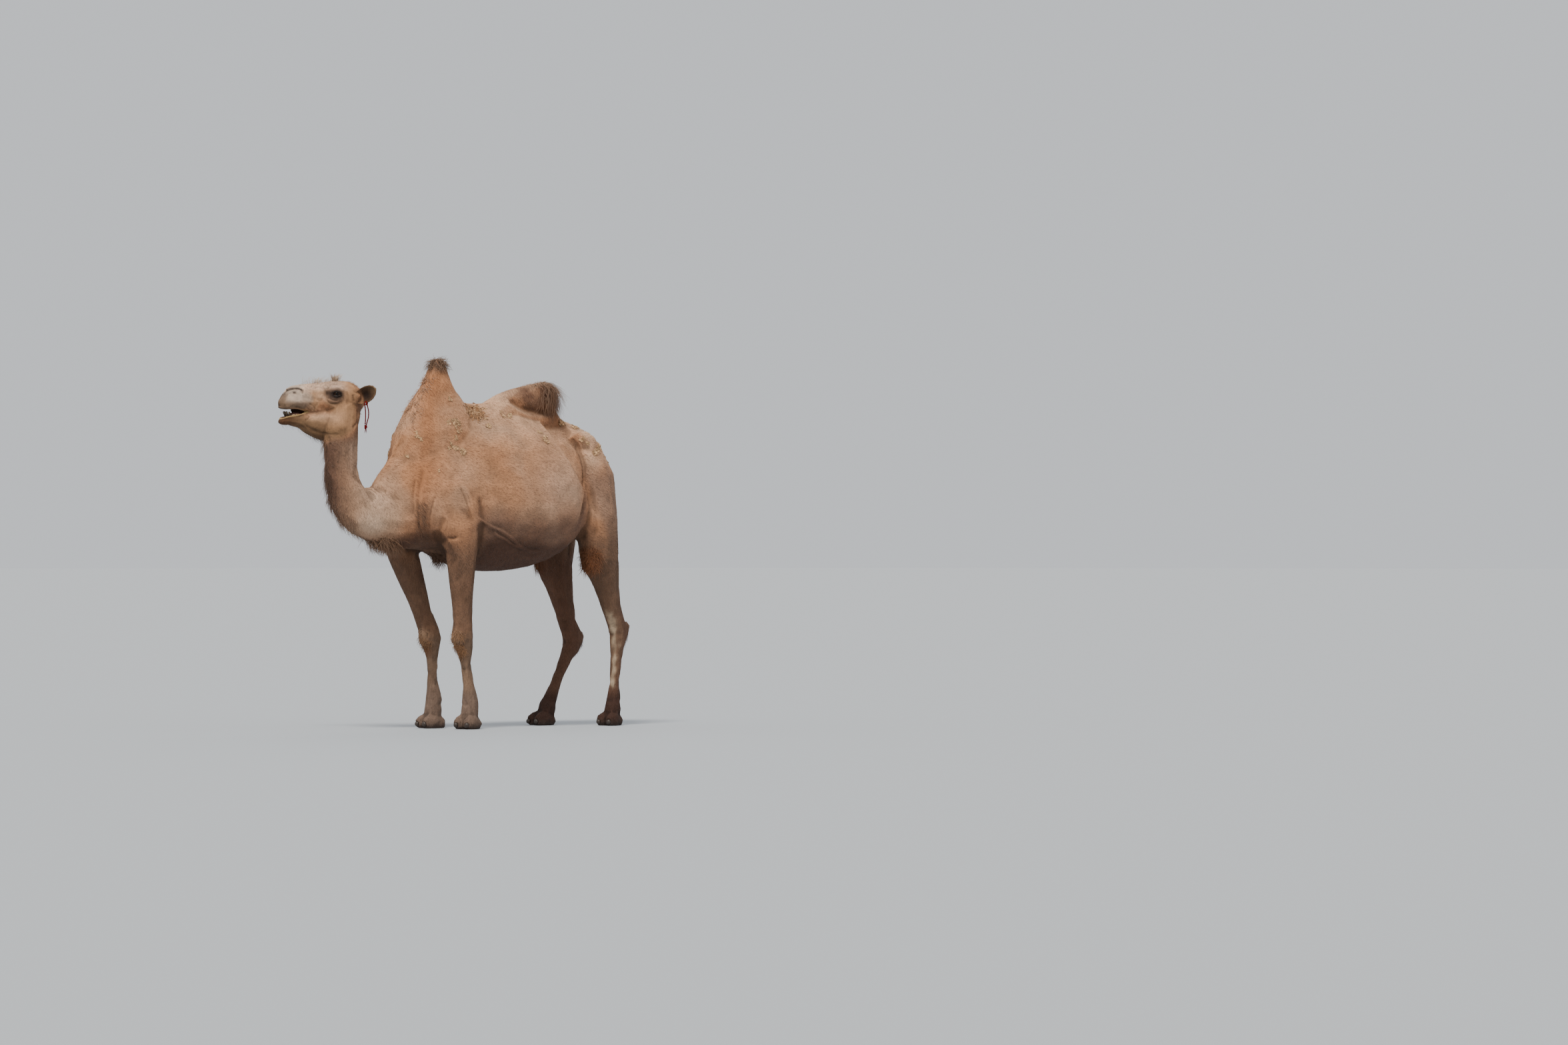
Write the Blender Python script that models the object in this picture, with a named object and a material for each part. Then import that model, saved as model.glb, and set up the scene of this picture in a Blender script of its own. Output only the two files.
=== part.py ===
"""A bactrian camel in its thin summer coat, standing, as a life-size still model.

The camel faces -X with its left side towards -Y, and stands on z = 0. Its body is lofted from a few
stations for each part, fused into one skin and relaxed, then parted with thin cuts into named nodes.
"""

import math

import bmesh
import bpy
import numpy as np
from mathutils import Euler, Matrix, Vector

# --- Driving dimensions, in metres -------------------------------------------------------------
HUMP_HEIGHT = 2.06  # tip of the front hump
SADDLE_HEIGHT = 1.83  # back between the humps
BELLY_HEIGHT = 0.87  # lowest point of the belly
BODY_HALF_WIDTH = 0.385  # barrel at its widest
HEAD_TURN = math.radians(23)  # towards the camel's right
KNEE_HEIGHT = 0.51
HOCK_HEIGHT = 0.53
HOCK_DROP = 0.055  # how much lower the right hock is, with that foot set forwards
FETLOCK_HEIGHT = 0.15
EYE_RADIUS = 0.023

ROW_SHIFT = (0.235, -0.0025, 0.0)  # from the middle of the barrel to the middle of the whole box

CUT = 0.0006  # width of the cuts between nodes
GAP = 0.0004  # clearance round a piece that is let into another
VOXEL = 0.009
RING_SIDES = 32
STEPS = 5  # rings to each gap between stations
NODE_BUDGET = 3160  # what the fused body is thinned out to, before the finest places keep more
RELAX_PASSES = 22
CRUMB = 0.03  # a loose bit smaller than this is no node
SHARP = math.radians(40)

LEFT, RIGHT = -1, 1
SIDES = {"left": LEFT, "right": RIGHT}


# --- Materials ---------------------------------------------------------------------------------
# Base colour and roughness for the nodes whose names start like this; the first that fits counts.
FINISHES = {
    "eye_": ((0.02, 0.012, 0.008), 0.08),
    "nail_": ((0.16, 0.12, 0.09), 0.50),
    "tassel_": ((0.42, 0.02, 0.02), 0.80),
    "ear_": ((0.33, 0.22, 0.14), 0.90),
    "hindleg_": ((0.20, 0.13, 0.09), 0.90),
    "foreleg_": ((0.36, 0.27, 0.21), 0.90),
    "": ((0.50, 0.36, 0.25), 0.90),
}
METALLIC = 0.0


def paint(obj):
    """Gives a node a material of its own."""
    colour, roughness = next(look for start, look in FINISHES.items() if obj.name.startswith(start))
    made = bpy.data.materials.new(f"{obj.name}_finish")
    made.use_nodes = True
    shader = made.node_tree.nodes["Principled BSDF"]
    shader.inputs["Base Color"].default_value = (*colour, 1.0)
    shader.inputs["Roughness"].default_value = roughness
    shader.inputs["Metallic"].default_value = METALLIC
    obj.data.materials.clear()
    obj.data.materials.append(made)


# --- Meshes ------------------------------------------------------------------------------------
def clear_scene():
    for obj in list(bpy.data.objects):
        bpy.data.objects.remove(obj)


def add_object(name, mesh):
    obj = bpy.data.objects.new(name, mesh)
    bpy.context.scene.collection.objects.link(obj)
    return obj


def smooth_run(rows, steps=STEPS):
    """Rows of numbers as a Catmull-Rom run through them, with `steps` rows to each gap."""
    rows = np.array(rows, float)
    padded = np.vstack([2 * rows[0] - rows[1], rows, 2 * rows[-1] - rows[-2]])
    t = np.linspace(0, 1, steps, endpoint=False)[:, None]
    run = []
    for a, b, c, d in zip(padded, padded[1:], padded[2:], padded[3:]):
        bend = (2 * a - 5 * b + 4 * c - d) * t**2 + (3 * b - a - 3 * c + d) * t**3
        run.append(0.5 * (2 * b + (c - a) * t + bend))
    return np.vstack([*run, rows[-1:]])


def unit(v):
    return v / np.linalg.norm(v, axis=-1, keepdims=True)


def loft(name, stations, cap=0.55):
    """A closed tube through stations (x, y, z, back, front, side, pinch).

    The stations run from head to tail or from top to bottom, so that `back` reaches from the centre
    line to the dorsal or hind side and `front` to the other. A pinch over 1 narrows the back half.
    """
    rows = smooth_run(stations)
    centres = rows[:, :3]
    along = unit(np.gradient(centres, axis=0))
    across = np.array([0.0, 1.0, 0.0]) - along * along[:, 1:2]
    across = unit(across)
    behind = np.cross(along, across)
    angle = np.linspace(0, 2 * math.pi, RING_SIDES, endpoint=False)
    cos, sin = np.cos(angle), np.sin(angle)
    rings = []
    for row, c, s, b in zip(rows, centres, across, behind):
        back, front, side, pinch = row[3:7]
        power = np.where(sin > 0, pinch, 1.0)
        lateral = side * np.sign(cos) * np.abs(cos) ** power
        depth = np.where(sin > 0, back, front) * sin
        rings.append(c + lateral[:, None] * s + depth[:, None] * b)
    ends = []
    for at, outwards in ((0, -1), (-1, 1)):
        reach = cap * rows[at, 3:6].mean() * outwards
        dome = [
            centres[at]
            + (rings[at] - centres[at]) * math.cos(phi)
            + along[at] * reach * math.sin(phi)
            for phi in (math.radians(35), math.radians(65))
        ]
        ends.append((dome, centres[at] + along[at] * reach))
    (first_dome, first_pole), (last_dome, last_pole) = ends
    rings = [*first_dome[::-1], *rings, *last_dome]
    verts = [first_pole, *np.vstack(rings), last_pole]
    faces = []
    last = len(verts) - 1
    for k in range(RING_SIDES):
        n = (k + 1) % RING_SIDES
        faces.append((0, 1 + n, 1 + k))
        for r in range(len(rings) - 1):
            low, high = 1 + r * RING_SIDES, 1 + (r + 1) * RING_SIDES
            faces.append((low + k, low + n, high + n, high + k))
        low = 1 + (len(rings) - 1) * RING_SIDES
        faces.append((low + k, low + n, last))
    mesh = bpy.data.meshes.new(name)
    mesh.from_pydata([tuple(v) for v in verts], [], faces)
    outward_normals(mesh)
    return add_object(name, mesh)


def outward_normals(mesh):
    bm = bmesh.new()
    bm.from_mesh(mesh)
    bmesh.ops.recalc_face_normals(bm, faces=bm.faces)
    bm.to_mesh(mesh)
    bm.free()


def blob(name, at, radii, turn=(0, 0, 0), detail=3):
    """An ellipsoid, turned by Euler angles in degrees."""
    mesh = bpy.data.meshes.new(name)
    bm = bmesh.new()
    bmesh.ops.create_icosphere(bm, subdivisions=detail, radius=1.0)
    bm.to_mesh(mesh)
    bm.free()
    turned = Euler([math.radians(a) for a in turn]).to_matrix().to_4x4()
    mesh.transform(Matrix.Translation(at) @ turned @ Matrix.Diagonal((*radii, 1.0)))
    return add_object(name, mesh)


def joined(name, pieces):
    """The meshes of these objects as one object."""
    bm = bmesh.new()
    for piece in pieces:
        bm.from_mesh(piece.data)
        bpy.data.objects.remove(piece)
    mesh = bpy.data.meshes.new(name)
    bm.to_mesh(mesh)
    bm.free()
    return add_object(name, mesh)


def bake_modifiers(obj):
    """The object's mesh as its modifiers leave it, with the modifiers gone."""
    graph = bpy.context.evaluated_depsgraph_get()
    made = bpy.data.meshes.new_from_object(obj.evaluated_get(graph), depsgraph=graph)
    obj.modifiers.clear()
    obj.data = made
    return obj


def boolean(obj, cutter, operation="DIFFERENCE"):
    change = obj.modifiers.new(operation.lower(), "BOOLEAN")
    change.operation = operation
    change.solver = "EXACT"
    change.object = cutter
    bake_modifiers(obj)
    bpy.data.objects.remove(cutter)
    return obj


def fuse(name, pieces, voxel=VOXEL):
    """Overlapping closed pieces as one even skin."""
    obj = joined(name, pieces)
    remesh = obj.modifiers.new("fuse", "REMESH")
    remesh.mode = "VOXEL"
    remesh.voxel_size = voxel
    return bake_modifiers(obj)


def points_of(mesh):
    points = np.empty(len(mesh.vertices) * 3)
    mesh.vertices.foreach_get("co", points)
    return points.reshape(-1, 3)


def swell(mesh, by):
    """Pushes a closed mesh outwards."""
    normals = np.array([v.normal[:] for v in mesh.vertices])
    mesh.vertices.foreach_set("co", (points_of(mesh) + by * normals).ravel())
    mesh.update()


def relax(mesh, passes, strength):
    """Smooths a mesh, each vertex as strongly as strength(points) says, which melts the joins."""
    points = points_of(mesh)
    edges = np.empty(len(mesh.edges) * 2, np.int64)
    mesh.edges.foreach_get("vertices", edges)
    a, b = edges.reshape(-1, 2).T
    count = np.bincount(np.concatenate([a, b]), minlength=len(points))[:, None]
    weight = strength(points)[:, None] * 0.5
    for _ in range(passes):
        total = np.stack(
            [
                np.bincount(a, points[b, k], len(points)) + np.bincount(b, points[a, k], len(points))
                for k in range(3)
            ],
            axis=1,
        )
        points += weight * (total / count - points)
    mesh.vertices.foreach_set("co", points.ravel())
    mesh.update()


# --- The trunk, humps and tail -----------------------------------------------------------------
# Stations along the back: x, top, height of the greatest width, bottom, half-width, pinch of the top.
TRUNK = (
    (-0.86, 1.36, 1.22, 1.07, 0.090, 1.3),
    (-0.76, 1.49, 1.24, 1.01, 0.155, 1.7),
    (-0.64, 1.66, 1.25, 0.99, 0.225, 2.0),
    (-0.50, 1.77, 1.25, 0.985, 0.270, 2.0),
    (-0.34, SADDLE_HEIGHT - 0.01, 1.24, 0.925, 0.300, 1.8),
    (-0.16, SADDLE_HEIGHT - 0.01, 1.22, BELLY_HEIGHT + 0.005, 0.345, 1.5),
    (0.02, SADDLE_HEIGHT - 0.015, 1.22, BELLY_HEIGHT, BODY_HALF_WIDTH - 0.01, 1.4),
    (0.18, 1.81, 1.24, 0.893, BODY_HALF_WIDTH + 0.002, 1.35),
    (0.30, 1.795, 1.27, 0.940, BODY_HALF_WIDTH - 0.012, 1.3),
    (0.40, 1.78, 1.30, 1.010, 0.325, 1.3),
    (0.48, 1.77, 1.34, 1.080, 0.248, 1.3),
    (0.57, 1.74, 1.37, 1.155, 0.195, 1.2),
    (0.68, 1.68, 1.38, 1.215, 0.175, 1.1),
    (0.78, 1.57, 1.37, 1.270, 0.125, 1.0),
)
# Level rings up the front hump, all round one upright line: z, half-length, half-width.
FRONT_HUMP_X = -0.426
FRONT_HUMP = (
    (1.47, 0.340, 0.190),
    (1.55, 0.325, 0.185),
    (1.635, 0.295, 0.170),
    (1.72, 0.250, 0.140),
    (1.80, 0.199, 0.108),
    (1.86, 0.147, 0.086),
    (1.92, 0.099, 0.069),
    (1.99, 0.064, 0.051),
    (HUMP_HEIGHT - 0.018, 0.044, 0.037),
)
# Stations along the slack rear hump, before it flops over: x, top, half-width at its foot.
REAR_HUMP_FOOT = 1.72
REAR_HUMP = (
    (-0.08, 1.810, 0.130),
    (0.02, 1.875, 0.130),
    (0.12, 1.920, 0.125),
    (0.22, 1.955, 0.125),
    (0.28, 1.966, 0.120),
    (0.33, 1.950, 0.110),
    (0.375, 1.895, 0.100),
    (0.42, 1.815, 0.090),
    (0.48, 1.740, 0.080),
)
REAR_HUMP_SUNK = 0.12  # how deep its underside lies in the back
REAR_HUMP_PINCH = 1.45
FLOP = (0.13, 0.020)  # how far the top of the rear hump leans to the left, and how far it sinks
FLOP_RISE = 0.20  # height over its foot at which it leans that far
FLOP_RUN = (-0.05, 0.40)  # where the lean starts, and the length over which it grows
TAIL = (
    (0.74, 0, 1.47, 0.060, 0.060, 0.055, 1),
    (0.81, 0, 1.43, 0.042, 0.042, 0.040, 1),
    (0.855, 0, 1.34, 0.030, 0.030, 0.028, 1),
    (0.872, 0, 1.18, 0.024, 0.024, 0.023, 1),
    (0.872, 0, 1.02, 0.024, 0.024, 0.024, 1),
    (0.866, 0, 0.91, 0.030, 0.030, 0.030, 1),
    (0.862, 0, 0.83, 0.014, 0.014, 0.014, 1),
)


def slack_hump():
    """A fin along the back whose top leans over to the left, more so towards the rear."""
    foot, sunk, pinch = REAR_HUMP_FOOT, REAR_HUMP_SUNK, REAR_HUMP_PINCH
    obj = loft("hump_rear", [(x, 0, foot, top - foot, sunk, b, pinch) for x, top, b in REAR_HUMP], 0.2)
    points = points_of(obj.data)
    height = np.clip((points[:, 2] - foot) / FLOP_RISE, 0, 1.1)
    start, length = FLOP_RUN
    rearwards = np.clip((points[:, 0] - start) / length, 0, 1)
    lean, sink = FLOP
    points[:, 1] -= lean * height**2 * rearwards
    points[:, 2] -= sink * height**2 * rearwards
    obj.data.vertices.foreach_set("co", points.ravel())
    return obj


def trunk_pieces():
    stations = [
        (x, 0, middle, top - middle, middle - bottom, width, pinch)
        for x, top, middle, bottom, width, pinch in TRUNK
    ]
    yield loft("trunk", stations, cap=0.35)
    # A path straight down keeps each ring level, with its length along X.
    front = [(FRONT_HUMP_X, 0, z, a, a, b, 1) for z, a, b in reversed(FRONT_HUMP)]
    yield loft("hump_front", front, cap=0.5)
    yield slack_hump()
    yield loft("tail", TAIL)
    yield blob("breast_pad", (-0.385, 0, 0.970), (0.080, 0.075, 0.060))
    for side in (LEFT, RIGHT):
        yield blob("shoulder_blade", (-0.50, side * 0.150, 1.40), (0.125, 0.080, 0.26), (side * 10, 12, 0))
        yield blob("upper_arm", (-0.46, side * 0.205, 1.15), (0.135, 0.085, 0.17), (side * 6, -14, 0))
        yield blob("haunch", (0.615, side * 0.150, 1.36), (0.170, 0.105, 0.25), (side * 8, -8, 0))
        yield blob("hip", (0.570, side * 0.135, 1.60), (0.12, 0.060, 0.065), (0, 24, 0))


# --- Neck --------------------------------------------------------------------------------------
NECK = (
    (-1.022, 0.100, 1.782, 0.080, 0.082, 0.068, 1),
    (-1.046, 0.098, 1.640, 0.112, 0.100, 0.076, 1),
    (-1.066, 0.085, 1.500, 0.117, 0.110, 0.075, 1.1),
    (-1.066, 0.065, 1.380, 0.112, 0.120, 0.078, 1.1),
    (-1.034, 0.045, 1.272, 0.125, 0.135, 0.086, 1.2),
    (-0.948, 0.025, 1.200, 0.155, 0.150, 0.105, 1.2),
    (-0.800, 0.010, 1.180, 0.210, 0.170, 0.150, 1.3),
    (-0.620, 0.000, 1.180, 0.240, 0.190, 0.190, 1.3),
)


# --- Head --------------------------------------------------------------------------------------
# The head is built on its own axis and then turned with the neck. Places on it are given as
# (distance back from the tip of the muzzle, side, height over the ground).
MUZZLE_TIP = (-1.385, 0.285)  # where the turned head puts it on the ground plan
HEAD_SIZE = 0.98
HEAD_AXIS_FOOT = 0.95  # the height that stays put when the head is sized
SKULL = (  # distance back, centre height, up, down, half-width, pinch of the top
    (0.016, 1.820, 0.016, 0.040, 0.040, 1.0),
    (0.040, 1.822, 0.050, 0.048, 0.054, 1.1),
    (0.072, 1.825, 0.083, 0.052, 0.058, 1.3),
    (0.130, 1.827, 0.094, 0.060, 0.060, 1.2),
    (0.200, 1.830, 0.097, 0.075, 0.070, 1.2),
    (0.280, 1.840, 0.096, 0.100, 0.085, 1.2),
    (0.350, 1.850, 0.095, 0.130, 0.100, 1.1),
    (0.410, 1.845, 0.092, 0.150, 0.100, 1.0),
    (0.450, 1.825, 0.080, 0.130, 0.084, 1.0),
    (0.475, 1.800, 0.062, 0.080, 0.062, 1.0),
)
JAW = (
    (0.018, 1.716, 0.024, 0.019, 0.034, 1.0),
    (0.040, 1.716, 0.030, 0.023, 0.046, 1.0),
    (0.080, 1.715, 0.040, 0.031, 0.051, 1.0),
    (0.140, 1.712, 0.050, 0.045, 0.054, 1.0),
    (0.190, 1.702, 0.065, 0.070, 0.058, 1.0),
    (0.260, 1.702, 0.090, 0.101, 0.070, 1.0),
    (0.340, 1.722, 0.100, 0.114, 0.086, 1.0),
    (0.405, 1.745, 0.100, 0.102, 0.088, 1.0),
    (0.450, 1.755, 0.080, 0.070, 0.074, 1.0),
)
MOUTH_CORNER = (0.172, 1.7655)
JAW_BACK = (0.490, 1.775)  # behind the head, where the cut under it runs out
LIPS_APART = (1.781, 1.738)  # heights of the upper and lower lips at the front of the mouth
GAPE_HALF_WIDTH = 0.14  # wider than the head
MOUTH_HOLLOW = ((0.088, 0, 1.759), (0.072, 0.042, 0.030))
NOSTRIL = ((0.078, 0.060, 1.887), (0.040, 0.014, 0.0045))
NOSTRIL_TILT = math.radians(20)
TEETH = 6  # lower incisors
TOOTH = (0.008, 0.0095, 0.040)
TOOTH_LEAN = math.radians(-24)  # forwards
TOOTH_ARC = (0.079, 0.032, 1.748)  # the arc's middle, back from the muzzle, its radius and height
TOOTH_FAN = 150  # degrees of arc that the row takes up
EYE = (0.323, 0.0885, 1.862)
EYE_LOOK = (-0.30, 1.0, 0.05)  # a little forwards, outwards and a little up
EYE_OPENING = (0.0135, 0.0215, 0.020)  # half-height and half-length between the lids, and depth
EYE_OPENING_PLACE = EYE_RADIUS + 0.004
EAR_ROOT = (0.441, 0.072, 1.843)
EAR_LENGTH = 0.135
EAR_WIDTH = 0.053  # sets its half-width
EAR_TIP_RISE = 0.022  # how far the tip turns up
EAR_WALL = 0.007


def head_frame():
    """The matrix that carries head places, with x as the distance back, into the world."""
    size = Matrix.Translation((0, 0, HEAD_AXIS_FOOT * (1 - HEAD_SIZE))) @ Matrix.Scale(HEAD_SIZE, 4)
    tip = Matrix.Translation((*MUZZLE_TIP, 0))
    return size @ tip @ Matrix.Rotation(-HEAD_TURN, 4, "Z")


def on_head(back, side, height):
    return head_frame() @ Vector((back, side, height))


def head_loft(name, rows, cap=0.5):
    stations = [(back, 0, z, up, down, side, pinch) for back, z, up, down, side, pinch in rows]
    obj = loft(name, stations, cap)
    obj.data.transform(head_frame())
    return obj


def head_blob(name, at, radii, turn=(0, 0, 0), detail=3):
    obj = blob(name, at, radii, turn, detail)
    obj.data.transform(head_frame())
    return obj


def head_pieces():
    yield head_loft("skull", SKULL)
    yield head_loft("jaw", JAW)
    yield head_blob("crown", (0.395, 0, 1.905), (0.070, 0.062, 0.040))
    for side in (LEFT, RIGHT):
        yield head_blob("nostril_wing", (0.088, side * 0.034, 1.878), (0.046, 0.022, 0.024), (0, -14, 0))
        yield head_blob("upper_lip", (0.056, side * 0.030, 1.806), (0.052, 0.032, 0.036))
        yield head_blob("orbit", (0.322, side * 0.078, 1.862), (0.052, 0.036, 0.042))
        yield head_blob("brow", (0.318, side * 0.078, 1.893), (0.048, 0.028, 0.020), (0, -6, side * -12))
        yield head_blob("cheek_bone", (0.280, side * 0.072, 1.820), (0.075, 0.022, 0.028), (0, 14, side * 12))
        yield head_blob("ear_root", (0.440, side * 0.074, 1.850), (0.038, 0.032, 0.036))


# --- Ear tassel --------------------------------------------------------------------------------
# Each strand's route, from just under the lower rim of the left ear to just over the knot.
STRAND_DIAMETER = 0.008
STRAND_FRONT = (
    (-0.9645, -0.0006, 1.7893),
    (-0.9637, -0.0007, 1.7835),
    (-0.9597, -0.0010, 1.7680),
    (-0.9575, -0.0010, 1.7400),
    (-0.9580, -0.0010, 1.7050),
    (-0.9605, -0.0010, 1.6793),
)
STRAND_BACK = (
    (-0.9563, -0.0117, 1.7914),
    (-0.9545, -0.0111, 1.7850),
    (-0.9475, -0.0090, 1.7690),
    (-0.9400, -0.0060, 1.7450),
    (-0.9410, -0.0040, 1.7150),
    (-0.9515, -0.0010, 1.6793),
)
KNOT_TOP = (-0.9560, -0.0010, 1.6790)
KNOT = (0.009, 0.009, 0.013)
FRAYED_END = (0.006, 0.006, 0.020)


# --- Legs --------------------------------------------------------------------------------------
# Joints down each leg, as (x, y, z).
FORELEGS = {
    "left": (
        (-0.450, -0.200, 1.16),
        (-0.422, -0.192, 0.98),
        (-0.384, -0.166, KNEE_HEIGHT),
        (-0.338, -0.176, FETLOCK_HEIGHT),
    ),
    "right": (
        (-0.530, 0.205, 1.14),
        (-0.502, 0.203, 0.98),
        (-0.368, 0.116, KNEE_HEIGHT),
        (-0.338, 0.125, FETLOCK_HEIGHT),
    ),
}
HIND_LEGS = {
    "left": (
        (0.620, -0.170, 1.34),
        (0.600, -0.222, 0.95),
        (0.792, -0.178, HOCK_HEIGHT),
        (0.765, -0.176, FETLOCK_HEIGHT),
    ),
    "right": (
        (0.660, 0.165, 1.34),
        (0.645, 0.205, 0.93),
        (0.745, 0.146, HOCK_HEIGHT - HOCK_DROP),
        (0.560, 0.130, FETLOCK_HEIGHT),
    ),
}
# Sizes down a leg: (joint number and share of the way to the next, back, front, side).
FORELEG_PROFILE = (
    (0.0, 0.120, 0.125, 0.080),
    (0.6, 0.120, 0.115, 0.088),
    (1.0, 0.100, 0.098, 0.084),
    (1.3, 0.082, 0.082, 0.071),
    (1.55, 0.067, 0.067, 0.060),
    (1.8, 0.062, 0.060, 0.054),
    (2.0, 0.064, 0.072, 0.062),
    (2.16, 0.056, 0.054, 0.050),
    (2.4, 0.038, 0.037, 0.034),
    (2.7, 0.038, 0.036, 0.034),
    (3.0, 0.054, 0.048, 0.050),
)
HIND_PROFILE = (
    (0.0, 0.150, 0.150, 0.095),
    (0.5, 0.150, 0.142, 0.108),
    (1.0, 0.147, 0.108, 0.096),
    (1.2, 0.125, 0.088, 0.080),
    (1.45, 0.090, 0.068, 0.062),
    (1.7, 0.070, 0.062, 0.050),
    (1.9, 0.074, 0.054, 0.046),
    (2.06, 0.078, 0.048, 0.046),
    (2.25, 0.052, 0.042, 0.040),
    (2.5, 0.040, 0.037, 0.035),
    (2.8, 0.036, 0.035, 0.034),
    (3.0, 0.046, 0.043, 0.046),
)
# Feet: heading in degrees from straight ahead towards the camel's left, size, and how far they
# stand ahead of the fetlock.
FEET = {
    ("fore", "left"): (12, 0.94, 0.008),
    ("fore", "right"): (-8, 0.94, 0.008),
    ("hind", "left"): (10, 0.90, 0.022),
    ("hind", "right"): (-6, 0.92, 0.050),
}
TOE_SPREAD = 0.033
TOE_TURN = 7  # degrees that each toe points outwards
NAIL = (0.013, 0.0145, 0.015)
NAIL_PLACE = (-0.082, 0.039, 0.026)  # ahead, to the side and up from where the foot stands
HOCK_POINT = 0.072  # how far the point of the hock stands behind the joint
SOLE_CUT = 0.132  # height where a foot is parted from its leg
ELBOW_CUT = 0.925
STIFLE_CUT = 0.965


def leg_joints():
    for name, joints in FORELEGS.items():
        yield "fore", name, joints, FORELEG_PROFILE
    for name, joints in HIND_LEGS.items():
        yield "hind", name, joints, HIND_PROFILE


def leg_name(pair, name):
    return f"{pair}leg_{name}"


def leg_loft(name, joints, profile):
    path = np.array(joints)
    stations = []
    for where, back, front, side in profile:
        k = min(int(where), len(path) - 2)
        at = path[k] + (path[k + 1] - path[k]) * (where - k)
        stations.append((*at, back, front, side, 1))
    return loft(name, stations, cap=0.4)


def foot_frame(pair, side_name, joints):
    """The matrix that carries foot places, with -X ahead, to where the foot stands."""
    heading, size, reach = FEET[pair, side_name]
    x, y, _ = joints[-1]
    turned = Matrix.Rotation(math.radians(heading), 4, "Z")
    ahead = turned @ Vector((-reach, 0, 0))
    return Matrix.Translation((x + ahead.x, y + ahead.y, 0)) @ turned @ Matrix.Scale(size, 4)


def foot_pieces(frame, reach):
    pieces = [
        blob("pastern", (0.65 * reach, 0, 0.105), (0.056, 0.053, 0.072)),
        blob("heel", (0.030, 0, 0.028), (0.056, 0.060, 0.052)),
    ]
    for side in (LEFT, RIGHT):
        turn = (0, 0, side * -TOE_TURN)
        pieces.append(blob("toe", (-0.026, side * TOE_SPREAD, 0.034), (0.068, 0.040, 0.052), turn))
    for piece in pieces:
        piece.data.transform(frame)
    return pieces


def nail_place(frame, side):
    ahead, out, up = NAIL_PLACE
    return frame @ Matrix.Translation((ahead, side * out, up))


def leg_pieces():
    for pair, name, joints, profile in leg_joints():
        yield leg_loft(f"{pair}_{name}", joints, profile)
        yield from foot_pieces(foot_frame(pair, name, joints), FEET[pair, name][2])
        x, y, z = joints[2]
        if pair == "fore":
            yield blob("knee_pad", (x - 0.052, y, z - 0.005), (0.028, 0.040, 0.050))
        else:
            yield blob("hock_point", (x + HOCK_POINT, y, z + 0.012), (0.026, 0.026, 0.058), (0, 12, 0))
            x, y, z = joints[1]
            yield blob("stifle_pad", (x - 0.050, y, z - 0.030), (0.055, 0.060, 0.080))


# --- Parting -----------------------------------------------------------------------------------
def slab(name, at, along, across, length, width):
    """A thin cutter lying along two directions."""
    x, y = Vector(along).normalized(), Vector(across).normalized()
    mesh = bpy.data.meshes.new(name)
    bm = bmesh.new()
    bmesh.ops.create_cube(bm, size=1.0)
    bm.to_mesh(mesh)
    bm.free()
    turned = Matrix((x, y, x.cross(y))).transposed().to_4x4()
    mesh.transform(Matrix.Translation(at) @ turned @ Matrix.Diagonal((length, width, CUT, 1.0)))
    return add_object(name, mesh)


def parting_slabs():
    sideways = Vector((0, 1, 0))
    throat, poll = on_head(0.262, 0, 1.580), on_head(0.512, 0, 1.835)
    across_head = head_frame().to_3x3() @ sideways
    yield slab("cut_head", (throat + poll) / 2, poll - throat, across_head, 0.46, 0.40)
    yield mouth_cutter()
    before, at, after = (Vector(row[:3]) for row in NECK[2:5])
    yield slab("cut_neck", at, (after - before).cross(sideways), sideways, 0.36, 0.34)
    low, high = Vector((-0.80, 0, 0.96)), Vector((-0.925, 0, 1.45))
    yield slab("cut_chest", (low + high) / 2, high - low, sideways, (high - low).length, 0.50)
    yield slab("cut_front_hump", (-0.44, 0, 1.765), (0.45, 0, 0.115), sideways, 0.80, 0.70)
    yield slab("cut_rear_hump", (0.26, 0, 1.790), (0.53, 0, -0.06), sideways, 0.66, 0.70)
    yield slab("cut_tail", (0.868, 0, 1.225), (1, 0, 0.1), sideways, 0.12, 0.14)
    for pair, _, joints, _ in leg_joints():
        top, middle, low = (Vector(j) for j in joints[1:])
        height, room = (ELBOW_CUT, 0.27) if pair == "fore" else (STIFLE_CUT, 0.40)
        at = top.lerp(middle, (top.z - height) / (top.z - middle.z))
        yield slab("cut_upper", at, (1, 0, 0), sideways, room, 0.30)
        yield slab("cut_middle", middle + Vector((0.01, 0, -0.01)), (1, 0, 0), sideways, 0.23, 0.19)
        yield slab("cut_foot", (low.x, low.y, SOLE_CUT), (1, 0, 0), sideways, 0.20, 0.18)


def node_seeds():
    """Each node of flesh with a point near its middle."""
    seeds = {
        "head": on_head(0.27, 0, 1.84),
        "lower_jaw": on_head(0.25, 0, 1.70),
        "neck_upper": Vector((-1.07, 0.09, 1.53)),
        "neck_lower": Vector((-1.0, 0.03, 1.25)),
        "trunk": Vector((0.0, 0, 1.32)),
        "hump_front": Vector((-0.41, 0, 1.90)),
        "hump_rear": Vector((0.30, -0.03, 1.86)),
        "tail": Vector((0.87, 0, 1.03)),
    }
    for pair, name, joints, _ in leg_joints():
        stem = leg_name(pair, name)
        top, middle, low = (Vector(j) for j in joints[1:])
        seeds[f"{stem}_upper"] = (top + middle) / 2
        seeds[f"{stem}_lower"] = (middle + low) / 2
        seeds[f"{stem}_foot"] = Vector((low.x, low.y, 0.06))
    return seeds


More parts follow.
